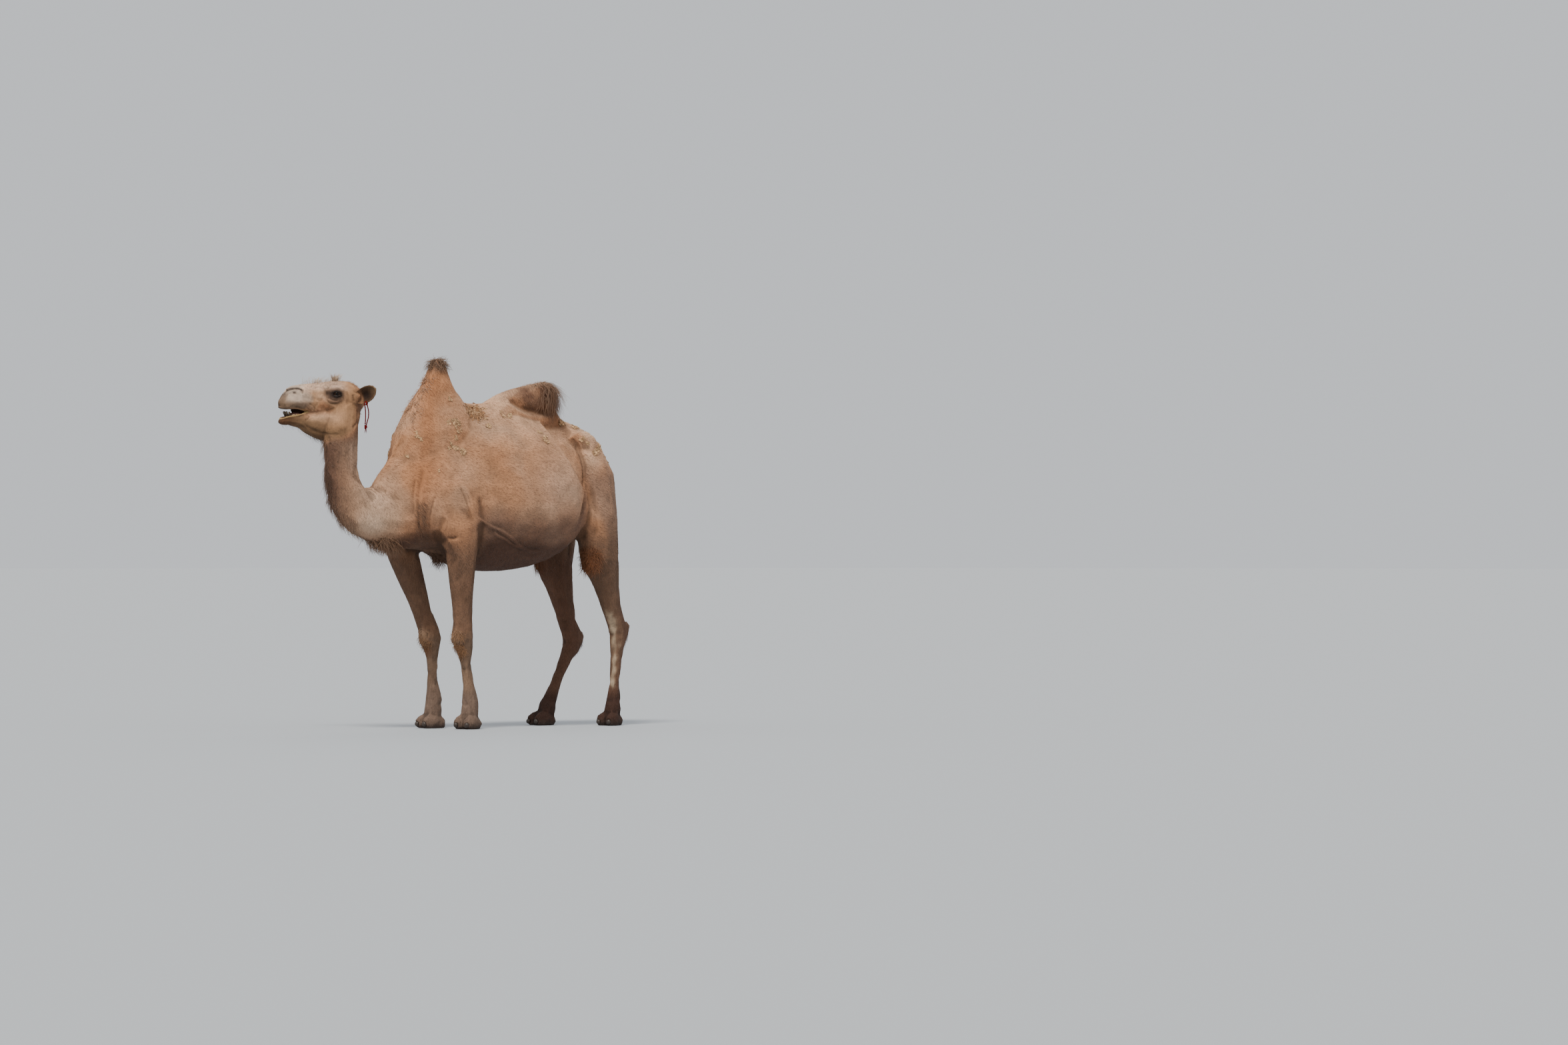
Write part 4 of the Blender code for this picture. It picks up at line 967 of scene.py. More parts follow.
BEHIND_JAW = ((0.461, 1.820), (0.473, 1.775), (0.469, 1.723), (0.449, 1.670), (0.410, 1.626),
              (0.351, 1.603), (0.296, 1.598))
LEG_STRIPE = ((0.690, -0.215, 0.66), (0.720, -0.205, 0.56), (0.735, -0.20, 0.48), (0.730, -0.20, 0.36),
              (0.722, -0.21, 0.22))
FAR_STREAKS = (((0.705, 0.10, 0.94), (0.690, 0.10, 0.80), (0.680, 0.11, 0.68), (0.672, 0.12, 0.58)),
               ((0.672, 0.11, 0.78), (0.662, 0.12, 0.66), (0.655, 0.13, 0.56)),
               ((0.625, 0.12, 0.36), (0.605, 0.12, 0.30)))


class Markings:
    """Works out the coat's colour at each point, one wash over another."""

    def __init__(self, points, normals):
        self.points, self.normals = points, normals
        self.head = head_places(points)
        self.bust = head_share(points)
        self.colour = np.tile(np.array(TAN), (len(points), 1))
        self.grain = ripples(points, 0.035, 21)
        self.patch = ripples(points, 0.13, 22)

    def wash(self, colour, amount):
        amount = np.clip(amount, 0, 1)[:, None]
        self.colour = self.colour * (1 - amount) + np.array(colour) * amount

    def near(self, middle, radius, power=2):
        return nearness(self.points, middle, radius, power)

    def near_head(self, middle, radii, power=2):
        offset = (self.head - np.asarray(middle)) / np.asarray(radii)
        return np.exp(-((offset**2).sum(1) ** (power / 2))) * self.bust

    def beside(self, route, width):
        """Near a route of (back, height), on both sides of the head."""
        far, _ = route_distance(self.head[:, [0, 2]], smooth_route(route, 4))
        return np.exp(-((far / width) ** 2))

    def along(self, route, width, power=2):
        far, _ = route_distance(self.points, smooth_route(route, 4))
        return np.exp(-((far / width) ** power))

    def frayed(self, amount, strength=0.35):
        """The same wash with a broken edge."""
        frays = strength * (self.grain * 0.6 + self.patch * 0.4) * (amount > 0.02)
        return smoothstep(0.25, 0.75, amount + frays)


def mark_body(m):
    x, y, z = m.points.T
    upwards = m.normals[:, 2]
    trunk = smoothstep(-0.86, -0.78, x)
    m.wash(GREYISH, 0.50 * smoothstep(0.0, 0.9, m.patch))
    m.wash(REDDISH, 0.45 * smoothstep(0.1, 0.9, ripples(m.points, 0.20, 23)))
    # paler where the skin faces up: partly the coat's pale colour, partly painted light
    m.wash(CREAM, 0.42 * smoothstep(0.1, 0.8, upwards) * smoothstep(1.45, 1.70, z) * trunk)
    m.wash(CREAM, 0.40 * m.near((0.10, 0, 1.80), 0.20) * smoothstep(0.3, 0.8, upwards))
    broken = 0.55 + 0.6 * ripples(m.points * (1, 1, 0.4), 0.035, 24)
    for side in SIDES.values():
        m.wash(REDDISH, 0.75 * m.along(mirrored(SHOULDER_STREAK, side), 0.075))
        m.wash(STREAK, 0.50 * m.along(mirrored(SHOULDER_STREAK, side), 0.045) * np.clip(broken, 0, 1))
        for colour, strength, middle, radius, grain in SIDE_WASHES:
            m.wash(colour, strength * m.near(mirrored(middle, side), radius) * (1 + grain * m.grain))
        # painted shade in the grooves behind the elbow and in front of the thigh
        m.wash(BELLY_AND_SHADE, 0.40 * m.along(mirrored(ARMPIT, side), 0.034))
        m.wash(BELLY_AND_SHADE, 0.70 * m.along(mirrored(FLANK_FOLD, side), 0.024))
    # darker low on the barrel and where the skin faces down: partly the belly's dark coat, partly painted
    # shade
    low = smoothstep(1.27, 1.10, z + 0.02 * m.patch) * smoothstep(-0.40, -0.25, x) * smoothstep(0.55, 0.40, x)
    m.wash(LOW_BARREL, 0.78 * low * trunk)
    under = smoothstep(1.08, 1.00, z + 0.015 * m.patch + 0.05 * np.clip(x, -1, 0.2)) * trunk
    under = under * np.maximum(smoothstep(-0.36, -0.28, x), smoothstep(0.05, 0.6, -upwards))
    m.wash(BELLY_AND_SHADE, 0.92 * under)
    rump = smoothstep(0.46, 0.58, x) * smoothstep(1.40, 1.55, z)
    m.wash(CREAM, 0.72 * rump * trunk * np.clip(0.75 + 0.4 * m.patch, 0, 1))
    thigh = smoothstep(0.50, 0.56, x + 0.25 * (z - 1.3)) * smoothstep(1.56, 1.36, z + 0.03 * m.patch)
    m.wash(THIGH, 0.85 * thigh)
    back_of_hump = smoothstep(-0.02, 0.20, x + 0.05 * m.patch + 0.02 * m.grain)
    hump = smoothstep(1.76, 1.84, z + 0.02 * m.patch) * back_of_hump
    m.wash(REAR_HUMP, 0.88 * hump * np.clip(0.85 + 0.5 * m.grain, 0, 1))
    m.wash(CREAM, 0.35 * smoothstep(1.90, 1.945, z) * (x > 0))
    for side in SIDES.values():
        # painted shadow under the flap of the rear hump
        hollow = m.along(mirrored(UNDER_HUMP, side), 0.040) * smoothstep(0.06, 0.22, x + 0.03 * m.grain)
        m.wash(HUMP_SHADOW, 0.62 * hollow)
    m.wash(HUMP_TIP, 0.8 * smoothstep(1.93, 2.02, z + 0.01 * m.patch) * (x < 0))
    tail = smoothstep(0.84, 0.87, x) * smoothstep(1.45, 1.35, z) * smoothstep(0.06, 0.03, np.abs(y))
    m.wash(TAIL, 0.7 * tail)


def mark_neck(m):
    x, _, z = m.points.T
    neck = smoothstep(-0.78, -0.86, x) * (z > 0.95)
    throat = neck * smoothstep(0.0, 0.06, head_edge(m.points, 0.015 * m.patch))
    m.wash(GREYISH, 0.40 * throat)
    m.wash(GREYISH, 0.45 * neck * smoothstep(1.42, 1.22, z))
    # partly brown coat, partly painted shadow of the head on the upper neck
    m.wash(NECK_BROWN_AND_SHADOW, 0.55 * neck * smoothstep(1.36, 1.46, z) * throat)
    high = 0.35 + 0.65 * smoothstep(1.12, 1.32, z)
    m.wash(NECK_STRIP, 0.92 * m.along(NECK_FRONT, 0.122) * np.clip(1 + 0.25 * m.grain, 0, 1) * throat * high)
    m.wash(BELLY_AND_SHADE, 0.65 * m.along(NECK_FRONT, 0.045, 3) * throat * high)
    for route in NECK_SIDES:
        m.wash(NECK_GREY, 0.45 * m.along(route, 0.075) * throat)
    # painted shadow under the jaw, on the throat
    m.wash(UNDER_JAW_SHADOW, 0.62 * m.along(on_head(BELOW_JAW), 0.105, 3) * throat)
    m.wash((0.110, 0.060, 0.038), 0.75 * m.near(on_head((0.28, 0, 1.58)), 0.085, 3) * throat)
    for side in SIDES.values():
        # partly pale coat, partly a painted highlight at the bend of the neck
        m.wash(NECK_BEND, 0.75 * m.near((-0.98, 0.09 * side, 1.13), 0.085, 3))


def mark_head(m):
    back, _, up = m.head.T
    face = m.bust * smoothstep(0.47, 0.42, back)
    m.wash(CHEEK, face)
    m.wash(FOREHEAD, 0.9 * face * (smoothstep(1.862, 1.905, up) * smoothstep(0.42, 0.32, back)))
    m.wash(MUZZLE, 0.9 * face * smoothstep(0.185, 0.12, back + 0.02 * m.grain) * smoothstep(1.76, 1.80, up))
    m.wash(CREAM, 0.35 * face * m.near_head((0.235, 0, 1.85), (0.05, 0.3, 0.03)))
    front = smoothstep(0.075, 0.030, back + 0.012 * m.grain) * smoothstep(1.885, 1.850, up)
    m.wash(UPPER_LIP, 0.85 * face * front)
    lip = face * smoothstep(1.838, 1.800, up + 0.006 * m.grain) * smoothstep(0.21, 0.13, back)
    m.wash(UPPER_LIP, 0.90 * lip)
    red = m.frayed(m.near_head((0.25, 0, 1.775), (0.085, 0.3, 0.045)), 0.6)
    m.wash(CHEEK_RED, 0.60 * face * red)
    m.wash(CREAM, 0.45 * face * m.near_head((0.235, 0, 1.735), (0.10, 0.3, 0.040)))
    # partly the jaw's dark brown, partly painted shade on the lower jaw
    jaw = smoothstep(1.745, 1.700, up + 0.10 * (back - 0.15) + 0.010 * m.patch) * smoothstep(0.42, 0.34, back)
    m.wash(JAW, 0.85 * m.bust * jaw * smoothstep(0.36, 0.20, back))
    m.wash(JAW, 0.80 * m.bust * smoothstep(1.690, 1.655, up) * smoothstep(0.42, 0.36, back))
    m.wash(JAW, 0.75 * face * smoothstep(1.768, 1.755, up) * smoothstep(0.20, 0.14, back))
    m.wash(LOWER_LIP, 0.85 * face * smoothstep(1.768, 1.755, up) * smoothstep(0.14, 0.03, back))
    shade = m.beside(BEHIND_JAW, 0.024) * is_bust(m.points) * smoothstep(1.83, 1.79, up)
    m.wash((0.110, 0.062, 0.040), 0.68 * shade * np.clip(1 + 0.2 * m.grain, 0, 1))
    for side in SIDES.values():
        for colour, strength, shift, radii, power in EYE_WASHES:
            m.wash(colour, strength * m.near_head(mirrored(EYE, side) + shift, radii, power))
        here = m.bust * (side * m.head[:, 1] > 0.004)
        # painted shade in the nostril's slit and in the folds round it
        m.wash(NOSTRIL_SHADE, 0.97 * m.beside(NOSTRIL, 0.0062) * here)
        m.wash(NOSE_FOLD_SHADE, 0.45 * m.beside(NOSTRIL, 0.012) * here)
        m.wash(NOSE_FOLD_SHADE, 0.60 * m.beside(((0.082, 1.870), (0.096, 1.868)), 0.006) * here)
        # painted shade along the fold at the corner of the mouth
        fold = ((0.150, 0.055, 1.806), (0.180, 0.055, 1.792), (0.200, 0.055, 1.770))
        m.wash(DARK_SKIN_AND_SHADE, 0.30 * m.along(on_head(mirrored(fold, side)), 0.009))
        mark_ear(m, side)
    mark_lips(m)


def mark_ear(m, side):
    root = on_head(mirrored(EAR_ROOT, side))
    out, cup = unit(turned(ear_out(side))), unit(turned(ear_cup(side)))
    facing = m.normals @ cup
    on_ear = smoothstep(0.028, 0.045, past_ear_root(m.points, side))
    on_ear = on_ear * smoothstep(0.0, 0.05, side * m.head[:, 1]) * m.bust
    m.wash(EAR_BACK, 0.45 * m.near(root, 0.050))
    m.wash(EAR_BACK, 0.85 * on_ear)
    m.wash(EAR_RIM, 0.70 * on_ear * smoothstep(0.60, 0.25, np.abs(facing)))
    inside = on_ear * smoothstep(0.0, 0.4, facing)
    m.wash(EAR_INSIDE, 0.92 * inside * np.clip(0.85 + 0.3 * m.grain, 0, 1))
    # painted shade deep in the hollow of the ear
    m.wash(EAR_CUP_SHADE, 0.92 * inside * m.near(root + 0.058 * out - 0.010 * cup, 0.030, 3))
    m.wash(EAR_TIP, 0.55 * on_ear * m.near(root + 0.108 * out + (0, 0, 0.026), 0.026))


def mark_lips(m):
    back, _, up = m.head.T
    near = np.flatnonzero(m.bust * (back < 0.20) > 0)
    upper, lower = (rim_nearness(m.head, near, rim) for rim in (UPPER_RIM, LOWER_RIM))
    # painted shade inside the mouth
    m.wash(MOUTH_SHADE, 0.96 * in_mouth(m.head) * m.bust)
    # painted shade under the upper lip
    beneath = smoothstep(-0.002, 0.003, np.interp(back, *rim_heights(UPPER_RIM)) - 0.001 - up)
    m.wash(DARK_SKIN_AND_SHADE, 0.85 * upper * beneath)
    m.wash(ABOVE_LIP, 0.55 * upper * smoothstep(0.04, 0.08, back) * (1 - beneath))
    m.wash(INNER_LIP, 0.60 * upper * smoothstep(0.12, 0.16, back))
    rise = up - np.interp(back, *rim_heights(LOWER_RIM))
    m.wash(INNER_LIP, 0.85 * lower * smoothstep(-0.004, 0.002, rise))
    band = np.exp(-(((rise - 0.0035 - 0.0008 * m.grain) / 0.0032) ** 2))
    m.wash(LIP, 0.90 * lower * band * np.clip(0.8 + 0.4 * m.grain, 0, 1))
    gum = smoothstep(0.009, 0.012, rise) * smoothstep(1.765, 1.755, up)
    m.wash(GUM, 0.90 * m.bust * (back < 0.115) * gum)


def rim_nearness(places, near, rim):
    """1 on a lip's rim, falling off round it, worked out for the points numbered in near."""
    amount = np.zeros(len(places))
    far, _ = route_distance(places[near], lip_run(rim))
    amount[near] = np.exp(-((far / 0.0085) ** 4))
    return amount


def rim_heights(rim):
    return np.array(rim)[:, 0], np.array(rim)[:, 2]


def mark_legs(m):
    x, y, z = m.points.T
    fore = (z < 1.18) * (x < -0.28) * (x > -0.66)
    m.wash(FORELEG, 0.92 * fore * smoothstep(1.16, 0.88, z + 0.04 * m.patch))
    m.wash(FORESHANK, 0.8 * fore * smoothstep(0.56, 0.46, z + 0.02 * m.patch))
    m.wash(FOREFOOT, 0.85 * fore * smoothstep(0.30, 0.15, z + 0.03 * m.patch))
    hind = smoothstep(1.24, 0.98, z + 0.03 * m.patch) * (x > 0.42)
    left = y < 0
    behind = m.normals[:, 0]
    m.wash(HIND_MID, 0.85 * hind)
    m.wash(HIND_DARK, 0.92 * hind * np.where(left, smoothstep(0.34, 0.20, z), smoothstep(1.06, 0.90, z)))
    m.wash(HIND_DARK, 0.75 * hind * left * smoothstep(-0.1, 0.5, behind) * smoothstep(0.80, 0.60, z))
    m.wash(HIND_FOOT, 0.90 * hind * smoothstep(0.24, 0.14, z + 0.02 * m.patch))
    fade = smoothstep(0.70, 0.56, z + 0.04 * m.grain)
    stripe = 0.90 * m.frayed(m.along(LEG_STRIPE, 0.027), 0.6) * fade * hind * left
    m.wash(STRIPE, stripe * smoothstep(0.30, -0.20, behind))
    for route in FAR_STREAKS:
        m.wash(STRIPE, 0.80 * m.along(route, 0.0055) * np.clip(0.7 + 0.6 * m.grain, 0, 1) * hind)
    m.wash(ORANGE, 0.85 * m.near((0.49, -0.25, 0.93), 0.070, 3))
    m.wash(ORANGE, 0.5 * m.near((0.53, 0.25, 0.90), 0.06))
    for knee_x, knee_y in KNEES:
        m.wash(KNEE_CALLUS, 0.75 * m.near((knee_x - 0.06, knee_y, 0.515), 0.040, 4))
        m.wash(ORANGE, 0.55 * m.near((knee_x - 0.045, knee_y, 0.435), 0.035))
    m.wash(CANNON_PALE, 0.35 * m.near((-0.384, -0.17, 0.265), 0.05))
    m.wash(SOLE, smoothstep(0.022, 0.008, z))
    m.wash(SOLE, 0.5 * smoothstep(0.050, 0.015, z))


def marked(points, normals):
    """The coat's colour at each point."""
    m = Markings(points, normals)
    for mark in (mark_body, mark_neck, mark_legs, mark_head):
        mark(m)
    m.colour *= (1 + 0.07 * m.grain)[:, None]
    return np.clip(m.colour, 0.004, 0.9)


def evenly(colour, points):
    """One colour for every point."""
    return np.tile(colour, (len(points), 1))


def paint(obj, colours):
    """Sets the colours that a piece's material reads."""
    layer = obj.data.attributes.new("coat", "FLOAT_COLOR", "POINT")
    layer.data.foreach_set("color", np.insert(colours, 3, 1, 1).astype(np.float32).ravel())


# --- The lie of the coat --------------------------------------------------------------------------
def along_skin(way, normals):
    """Directions without the part that leaves the skin."""
    return way - (way * normals).sum(1)[:, None] * normals


def lie_of_coat(points, normals, edges):
    """The way the hair points at each place: back from the muzzle, down the neck and legs, back and down
    along the flanks."""
    x, _, z = points.T
    places = head_places(points)
    bust = is_bust(points)
    way = np.tile(np.array((0.75, 0.0, -0.45)), (len(points), 1))
    for share, towards in (
        (smoothstep(1.62, 1.80, z) * ~bust, (0.35, 0.0, -0.9)),
        (smoothstep(-0.80, -0.92, x) * ~bust, (0.25, 0.0, -0.8)),
        (np.maximum(smoothstep(1.05, 0.90, z), smoothstep(0.82, 0.86, x)), (0.05, 0.0, -1.0)),
        (head_share(points), turned((0.9, 0.0, -0.22))),
    ):
        way = way * (1 - share[:, None]) + np.array(towards) * share[:, None]
    way[bust & (places[:, 0] > 0.33) & (places[:, 2] < 1.74)] = (0.1, 0, -1.0)
    for side in SIDES.values():
        on_ear = bust & (past_ear_root(points, side) > 0.03) & (side * places[:, 1] > 0.03)
        way[on_ear] = turned(ear_out(side))
    for _ in range(12):
        way = neighbour_mean(way, edges)
    return unit(along_skin(way, normals))


# --- Tufts ----------------------------------------------------------------------------------------
PATCH = 0.003  # size of a tuft's patch in its map
MOST_TRIANGLES = 190000  # in one piece of the coat


class Skin:
    """The finished skin as arrays, from which the coat grows."""

    def __init__(self, obj):
        mesh = obj.data
        self.obj = obj
        self.points = mesh_points(mesh)
        self.tris = mesh_triangles(mesh)
        self.edges = mesh_edges(mesh)
        self.normals = normals_of(self.points, self.tris)
        crosses = face_crosses(self.points, self.tris)
        self.areas = 0.5 * np.linalg.norm(crosses, axis=1)
        self.face_normals = unit(crosses)
        self.middles = sum(self.points[corner] for corner in self.tris.T) / 3
        self.colour = marked(self.points, self.normals)
        self.lie = lie_of_coat(self.points, self.normals, self.edges)
        self.colour *= self.hollows()[:, None]

    def hollows(self):
        """Darker in folds and a little paler on ridges: painted shade in the folds and painted light on the
        ridges.
        """
        even = self.points
        for _ in range(14):
            even = neighbour_mean(even, self.edges)
        sunk = ((even - self.points) * self.normals).sum(1)
        grain = np.bincount(self.tris.ravel(), np.repeat(self.areas, 3), len(self.points))
        grain = (grain / np.maximum(np.bincount(self.tris.ravel(), minlength=len(self.points)), 1))[:, None]
        for _ in range(6):
            grain = neighbour_mean(grain, self.edges)
        curve = sunk / (grain[:, 0] * 52 * 4.4 ** head_share(self.points))
        return 1 - 0.34 * np.clip(curve, -0.4, 1)

    def take_map(self):
        """Reads the unwrap, as the place of each triangle's corners."""
        mesh = self.obj.data
        loops = np.empty(len(mesh.loops) * 2, np.float32)
        mesh.uv_layers["OFBake"].data.foreach_get("uv", loops)
        corners = np.empty(len(mesh.loop_triangles) * 3, np.int64)
        mesh.loop_triangles.foreach_get("loops", corners)
        self.map = loops.reshape(-1, 2)[corners].reshape(-1, 3, 2)

    def map_near(self, points):
        """The map's places at the skin nearest to some points."""
        found = []
        for point in points:
            face = ((self.middles - point) ** 2).sum(1).argmin()
            found.append(self.map[face].mean(0))
        return np.array(found)

    def roots(self, count, density, seed):
        """Evenly strewn roots, thicker where the density is higher."""
        rng = np.random.default_rng(seed)
        weight = np.cumsum(self.areas * density)
        picks = (np.arange(count) + rng.uniform(size=count)) / count * weight[-1]
        face = np.minimum(np.searchsorted(weight, picks), len(weight) - 1)
        u, v = rng.uniform(size=(2, count))
        over = u + v > 1
        u[over], v[over] = 1 - u[over], 1 - v[over]
        shares = np.stack([1 - u - v, u, v], 1)
        place = {}
        for key in ("points", "normals", "lie", "colour"):
            place[key] = (getattr(self, key)[self.tris[face]] * shares[:, :, None]).sum(1)
        place["normals"] = unit(place["normals"])
        place["lie"] = unit(along_skin(place["lie"], place["normals"]))
        place["map"] = (self.map[face] * shares[:, :, None]).sum(1)
        return place, rng


def tuft_arrays(root, rng, length, width, lift, rings, droop=0.0, stray=0.25, curl=0.0, flat=0.28, clump=0.0,
                foot=0.86):
    """Closed, three-sided, tapering tufts, with their points, faces, colours and map places.

    lift is the share of the length by which a tuft's middle stands off the skin, droop bends its tip
    towards the floor, clump turns neighbouring tufts together, and foot is how dark they are at the root.
    """
    count = len(root["points"])
    length, width, lift = (np.broadcast_to(v, count).astype(float)[:, None] for v in (length, width, lift))
    normal = root["normals"]
    aside = np.cross(normal, root["lie"])
    turn = rng.normal(0, stray, count) + clump * ripples(root["points"], 0.012, 61)
    way = root["lie"] * np.cos(turn)[:, None] + aside * np.sin(turn)[:, None]
    side = np.cross(normal, way)
    bend = rng.normal(0, 0.5 * stray + 0.05, (count, 1))
    phase = rng.uniform(0, 2 * math.pi, (count, 1))
    down = np.array([0, 0, -1.0])
    points, shades = [], []
    for k in range(rings + 1):
        t = k / rings
        rise = lift * (1 - (1 - t) ** 2) * (1 - 0.35 * t) + 0.5 * curl * np.cos(phase + 5.0 * t) * t
        sideways = bend * t * t + curl * np.sin(phase + 5.0 * t) * t
        centre = way * t + normal * rise + side * sideways + down * (droop * t * t)
        centre = root["points"] + length * centre
        if k == 0:
            centre = centre - normal * 0.0008
        if k == rings:
            points.append(centre[:, None])
            shades.append(np.full((count, 1), t))
            continue
        half = width * 0.5 * (1 - 0.8 * t**2)
        ring = [centre - side * half, centre + side * half, centre + normal * half * 2 * flat]
        points.append(np.stack(ring, 1))
        shades.append(np.full((count, 3), t))
    points = np.concatenate(points, 1)
    shades = np.concatenate(shades, 1)
    last = 3 * (rings - 1)
    tip = [(last + j, last + (j + 1) % 3, last + 3) for j in range(3)]
    faces = repeated(np.vstack([[(0, 2, 1)], grid_faces(rings, 3), tip]), count, points.shape[1])
    tone = rng.normal(1.0, 0.09, (count, 1)) * (foot + 0.24 * shades)
    colours = root["colour"][:, None, :] * tone[:, :, None]
    across = np.append(np.tile([-0.5, 0.5, 0.0], rings), 0.0)
    patch = PATCH * np.stack([np.tile(across, (count, 1)), shades - 0.5], -1)
    places = root["map"][:, None] + patch
    return [v.reshape(-1, v.shape[-1]) for v in (points, faces, colours, places)]


def repeated(faces, count, points_each):
    """The faces of one tuft or flake, for many of them."""
    return (np.arange(count)[:, None, None] * points_each + faces[None]).reshape(-1, 3)


def flake_arrays(root, rng, size, sides=9):
    """Closed, thin flakes with ragged edges that stand off the skin on one side."""
    count = len(root["points"])
    normal = root["normals"]
    aside = np.cross(normal, root["lie"])
    angle = np.linspace(0, 2 * math.pi, sides, endpoint=False) + rng.uniform(0, 2 * math.pi, (count, 1))
    reach = rng.uniform(*size, (count, 1)) * rng.uniform(0.22, 1.0, (count, sides))
    a, b = reach * np.cos(angle), reach * np.sin(angle) * rng.uniform(0.25, 0.85, (count, 1))
    foot = rng.uniform(0.0006, 0.0034, (count, 1))
    slope = rng.normal(0, 0.34, (2, count, 1))
    rise = foot + np.maximum(a * slope[0] + b * slope[1], -0.4 * foot) + rng.normal(0, 0.0008, (count, sides))
    turn = rng.uniform(0, math.pi, (count, 1))
    a, b = a * np.cos(turn) - b * np.sin(turn), a * np.sin(turn) + b * np.cos(turn)
    rim = root["points"][:, None] + root["lie"][:, None] * a[..., None] + aside[:, None] * b[..., None]
    rim = rim + normal[:, None] * rise[..., None]
    thick = 0.0007 * normal[:, None]
    middle = (root["points"] + normal * foot)[:, None]
    points = np.concatenate([rim + thick, rim - thick, middle + 1.8 * thick, middle - thick], 1)
    top = np.arange(sides)
    after = (top + 1) % sides
    over = np.full(sides, 2 * sides)
    corners = ((top, after, over), (after + sides, top + sides, over + 1),
               (top + sides, after + sides, after), (top + sides, after, top))
    faces = repeated(np.concatenate([np.stack(three, 1) for three in corners]), count, points.shape[1])
    # painted shade on the flakes' undersides and painted light on the middle of their tops
    shade = np.concatenate([np.full(sides, 0.90), np.full(sides, 0.6), (1.08, 0.6)])
    colours = root["colour"][:, None, :] * (rng.uniform(0.55, 1.15, (count, 1)) * shade)[:, :, None]
    across = np.stack([np.hstack([v, v, np.zeros((count, 2))]) for v in (a, b)], -1)
    places = root["map"][:, None] + across / size[1] * PATCH / 2
    return [v.reshape(-1, v.shape[-1]) for v in (points, faces, colours, places)]


def coat_pieces(name, parts, material, smooth=True):
    """Tufts as pieces of fewer than MOST_TRIANGLES triangles each."""
    points, faces, colours, places = parts
    pieces = max(1, math.ceil(len(faces) / MOST_TRIANGLES))
    for k, rows in enumerate(np.array_split(faces, pieces)):
        used, own = np.unique(rows, return_inverse=True)
        own = own.reshape(rows.shape)
        piece = add_piece(f"{name}_{k + 1}" if pieces > 1 else name, points[used], own, material, "coat",
                          np.clip(colours[used], 0.004, 0.95))
        layer = piece.data.uv_layers.new(name="OFBake")
        layer.data.foreach_set("uv", places[used][own].astype(np.float32).ravel())
        if not smooth:
            piece.data.shade_flat()


def add_piece(name, points, faces, material, slot, colours=None, replaces=()):
    """A piece of the visual model, fixed to the body, from points in the body's own places."""
    obj = bpy.data.objects.new(name, new_mesh(name, np.asarray(points) + BARREL_MIDDLE, faces))
    bpy.context.scene.collection.objects.link(obj)
    obj.data.materials.append(material)
    obj.data.shade_smooth()
    if colours is not None:
        paint(obj, colours)
    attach(obj, BODY)
    if replaces:
        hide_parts(*replaces)
    return obj


def make_skin():
    mesh = shaped_skin()
    points, tris = mesh_points(mesh), mesh_triangles(mesh)
    obj = bpy.data.objects.new("skin", new_mesh("skin", points, tris))
    bpy.context.scene.collection.objects.link(obj)
    skin = Skin(obj)
    paint(obj, skin.colour)
    marks = obj.data.attributes.new("marks", "FLOAT_VECTOR", "POINT")
    upright, face = np.abs(skin.lie[:, 2]), head_share(points)
    marks.data.foreach_set("vector", np.stack([upright, face, 0 * face], 1).astype(np.float32).ravel())
    unwrap(obj)
    skin.take_map()
    obj.data.transform(Matrix.Translation(BARREL_MIDDLE))
    obj.data.materials.append(skin_material())
    obj.data.shade_smooth()
    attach(obj, BODY)
    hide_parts(*FLESH)
    return skin


def unwrap(obj):
    obj.data.uv_layers.new(name="OFBake")
    bpy.context.view_layer.objects.active = obj
    obj.select_set(True)
    bpy.ops.object.mode_set(mode="EDIT")
    bpy.ops.mesh.select_all(action="SELECT")
    bpy.ops.uv.smart_project(angle_limit=math.radians(66), island_margin=0.001)
    bpy.ops.object.mode_set(mode="OBJECT")
    obj.select_set(False)


def in_mouth(places):
    back, side, up = places.T
    half = 0.038 - 0.30 * np.clip(back - 0.10, 0, 1)
    inside = (np.abs(side) < half) & (back > 0.026) & (back < 0.188)
    return inside & (up < 1.783 - 0.09 * back) & (up > 1.731 + 0.13 * back)


def ear_share(points):
    """1 on the ears."""
    share = np.zeros(len(points))
    places = head_places(points)
    for side in SIDES.values():
        here = (side * places[:, 1] > 0.03) * is_bust(points)
        share = np.maximum(share, smoothstep(0.0, 0.02, past_ear_root(points, side)) * here)
    return share


SHORT_TUFTS = 96000


def short_coat_density(skin):
    """How thickly the short coat stands on each triangle: thin on lips and in the ears, none on the eyes
    or in the mouth."""
    middles = skin.middles
    places = head_places(middles)
    bust = is_bust(middles)
    density = 1.0 + 0.9 * smoothstep(1.0, 0.85, middles[:, 2]) + 2.0 * head_share(middles)
    density = density * ~(in_mouth(places) & bust) * (middles[:, 2] > 0.018)
    near = np.flatnonzero(bust & (places[:, 0] < 0.20))
    for rim in (UPPER_RIM, LOWER_RIM):
        density = density * (1 - 0.95 * rim_nearness(places, near, rim))
    for side in SIDES.values():
        eye = head_places(carried(eye_matrix(side), [(0, 0, EYE_RADIUS)]))[0]
        density = density * (np.linalg.norm(places - eye, axis=1) > 0.023)
    for side in SIDES.values():
        in_cup = skin.face_normals @ unit(turned(ear_cup(side))) > 0.2
        density = density * (1 - 0.97 * in_cup * (side * places[:, 1] > 0.03) * ear_share(middles))
    return density


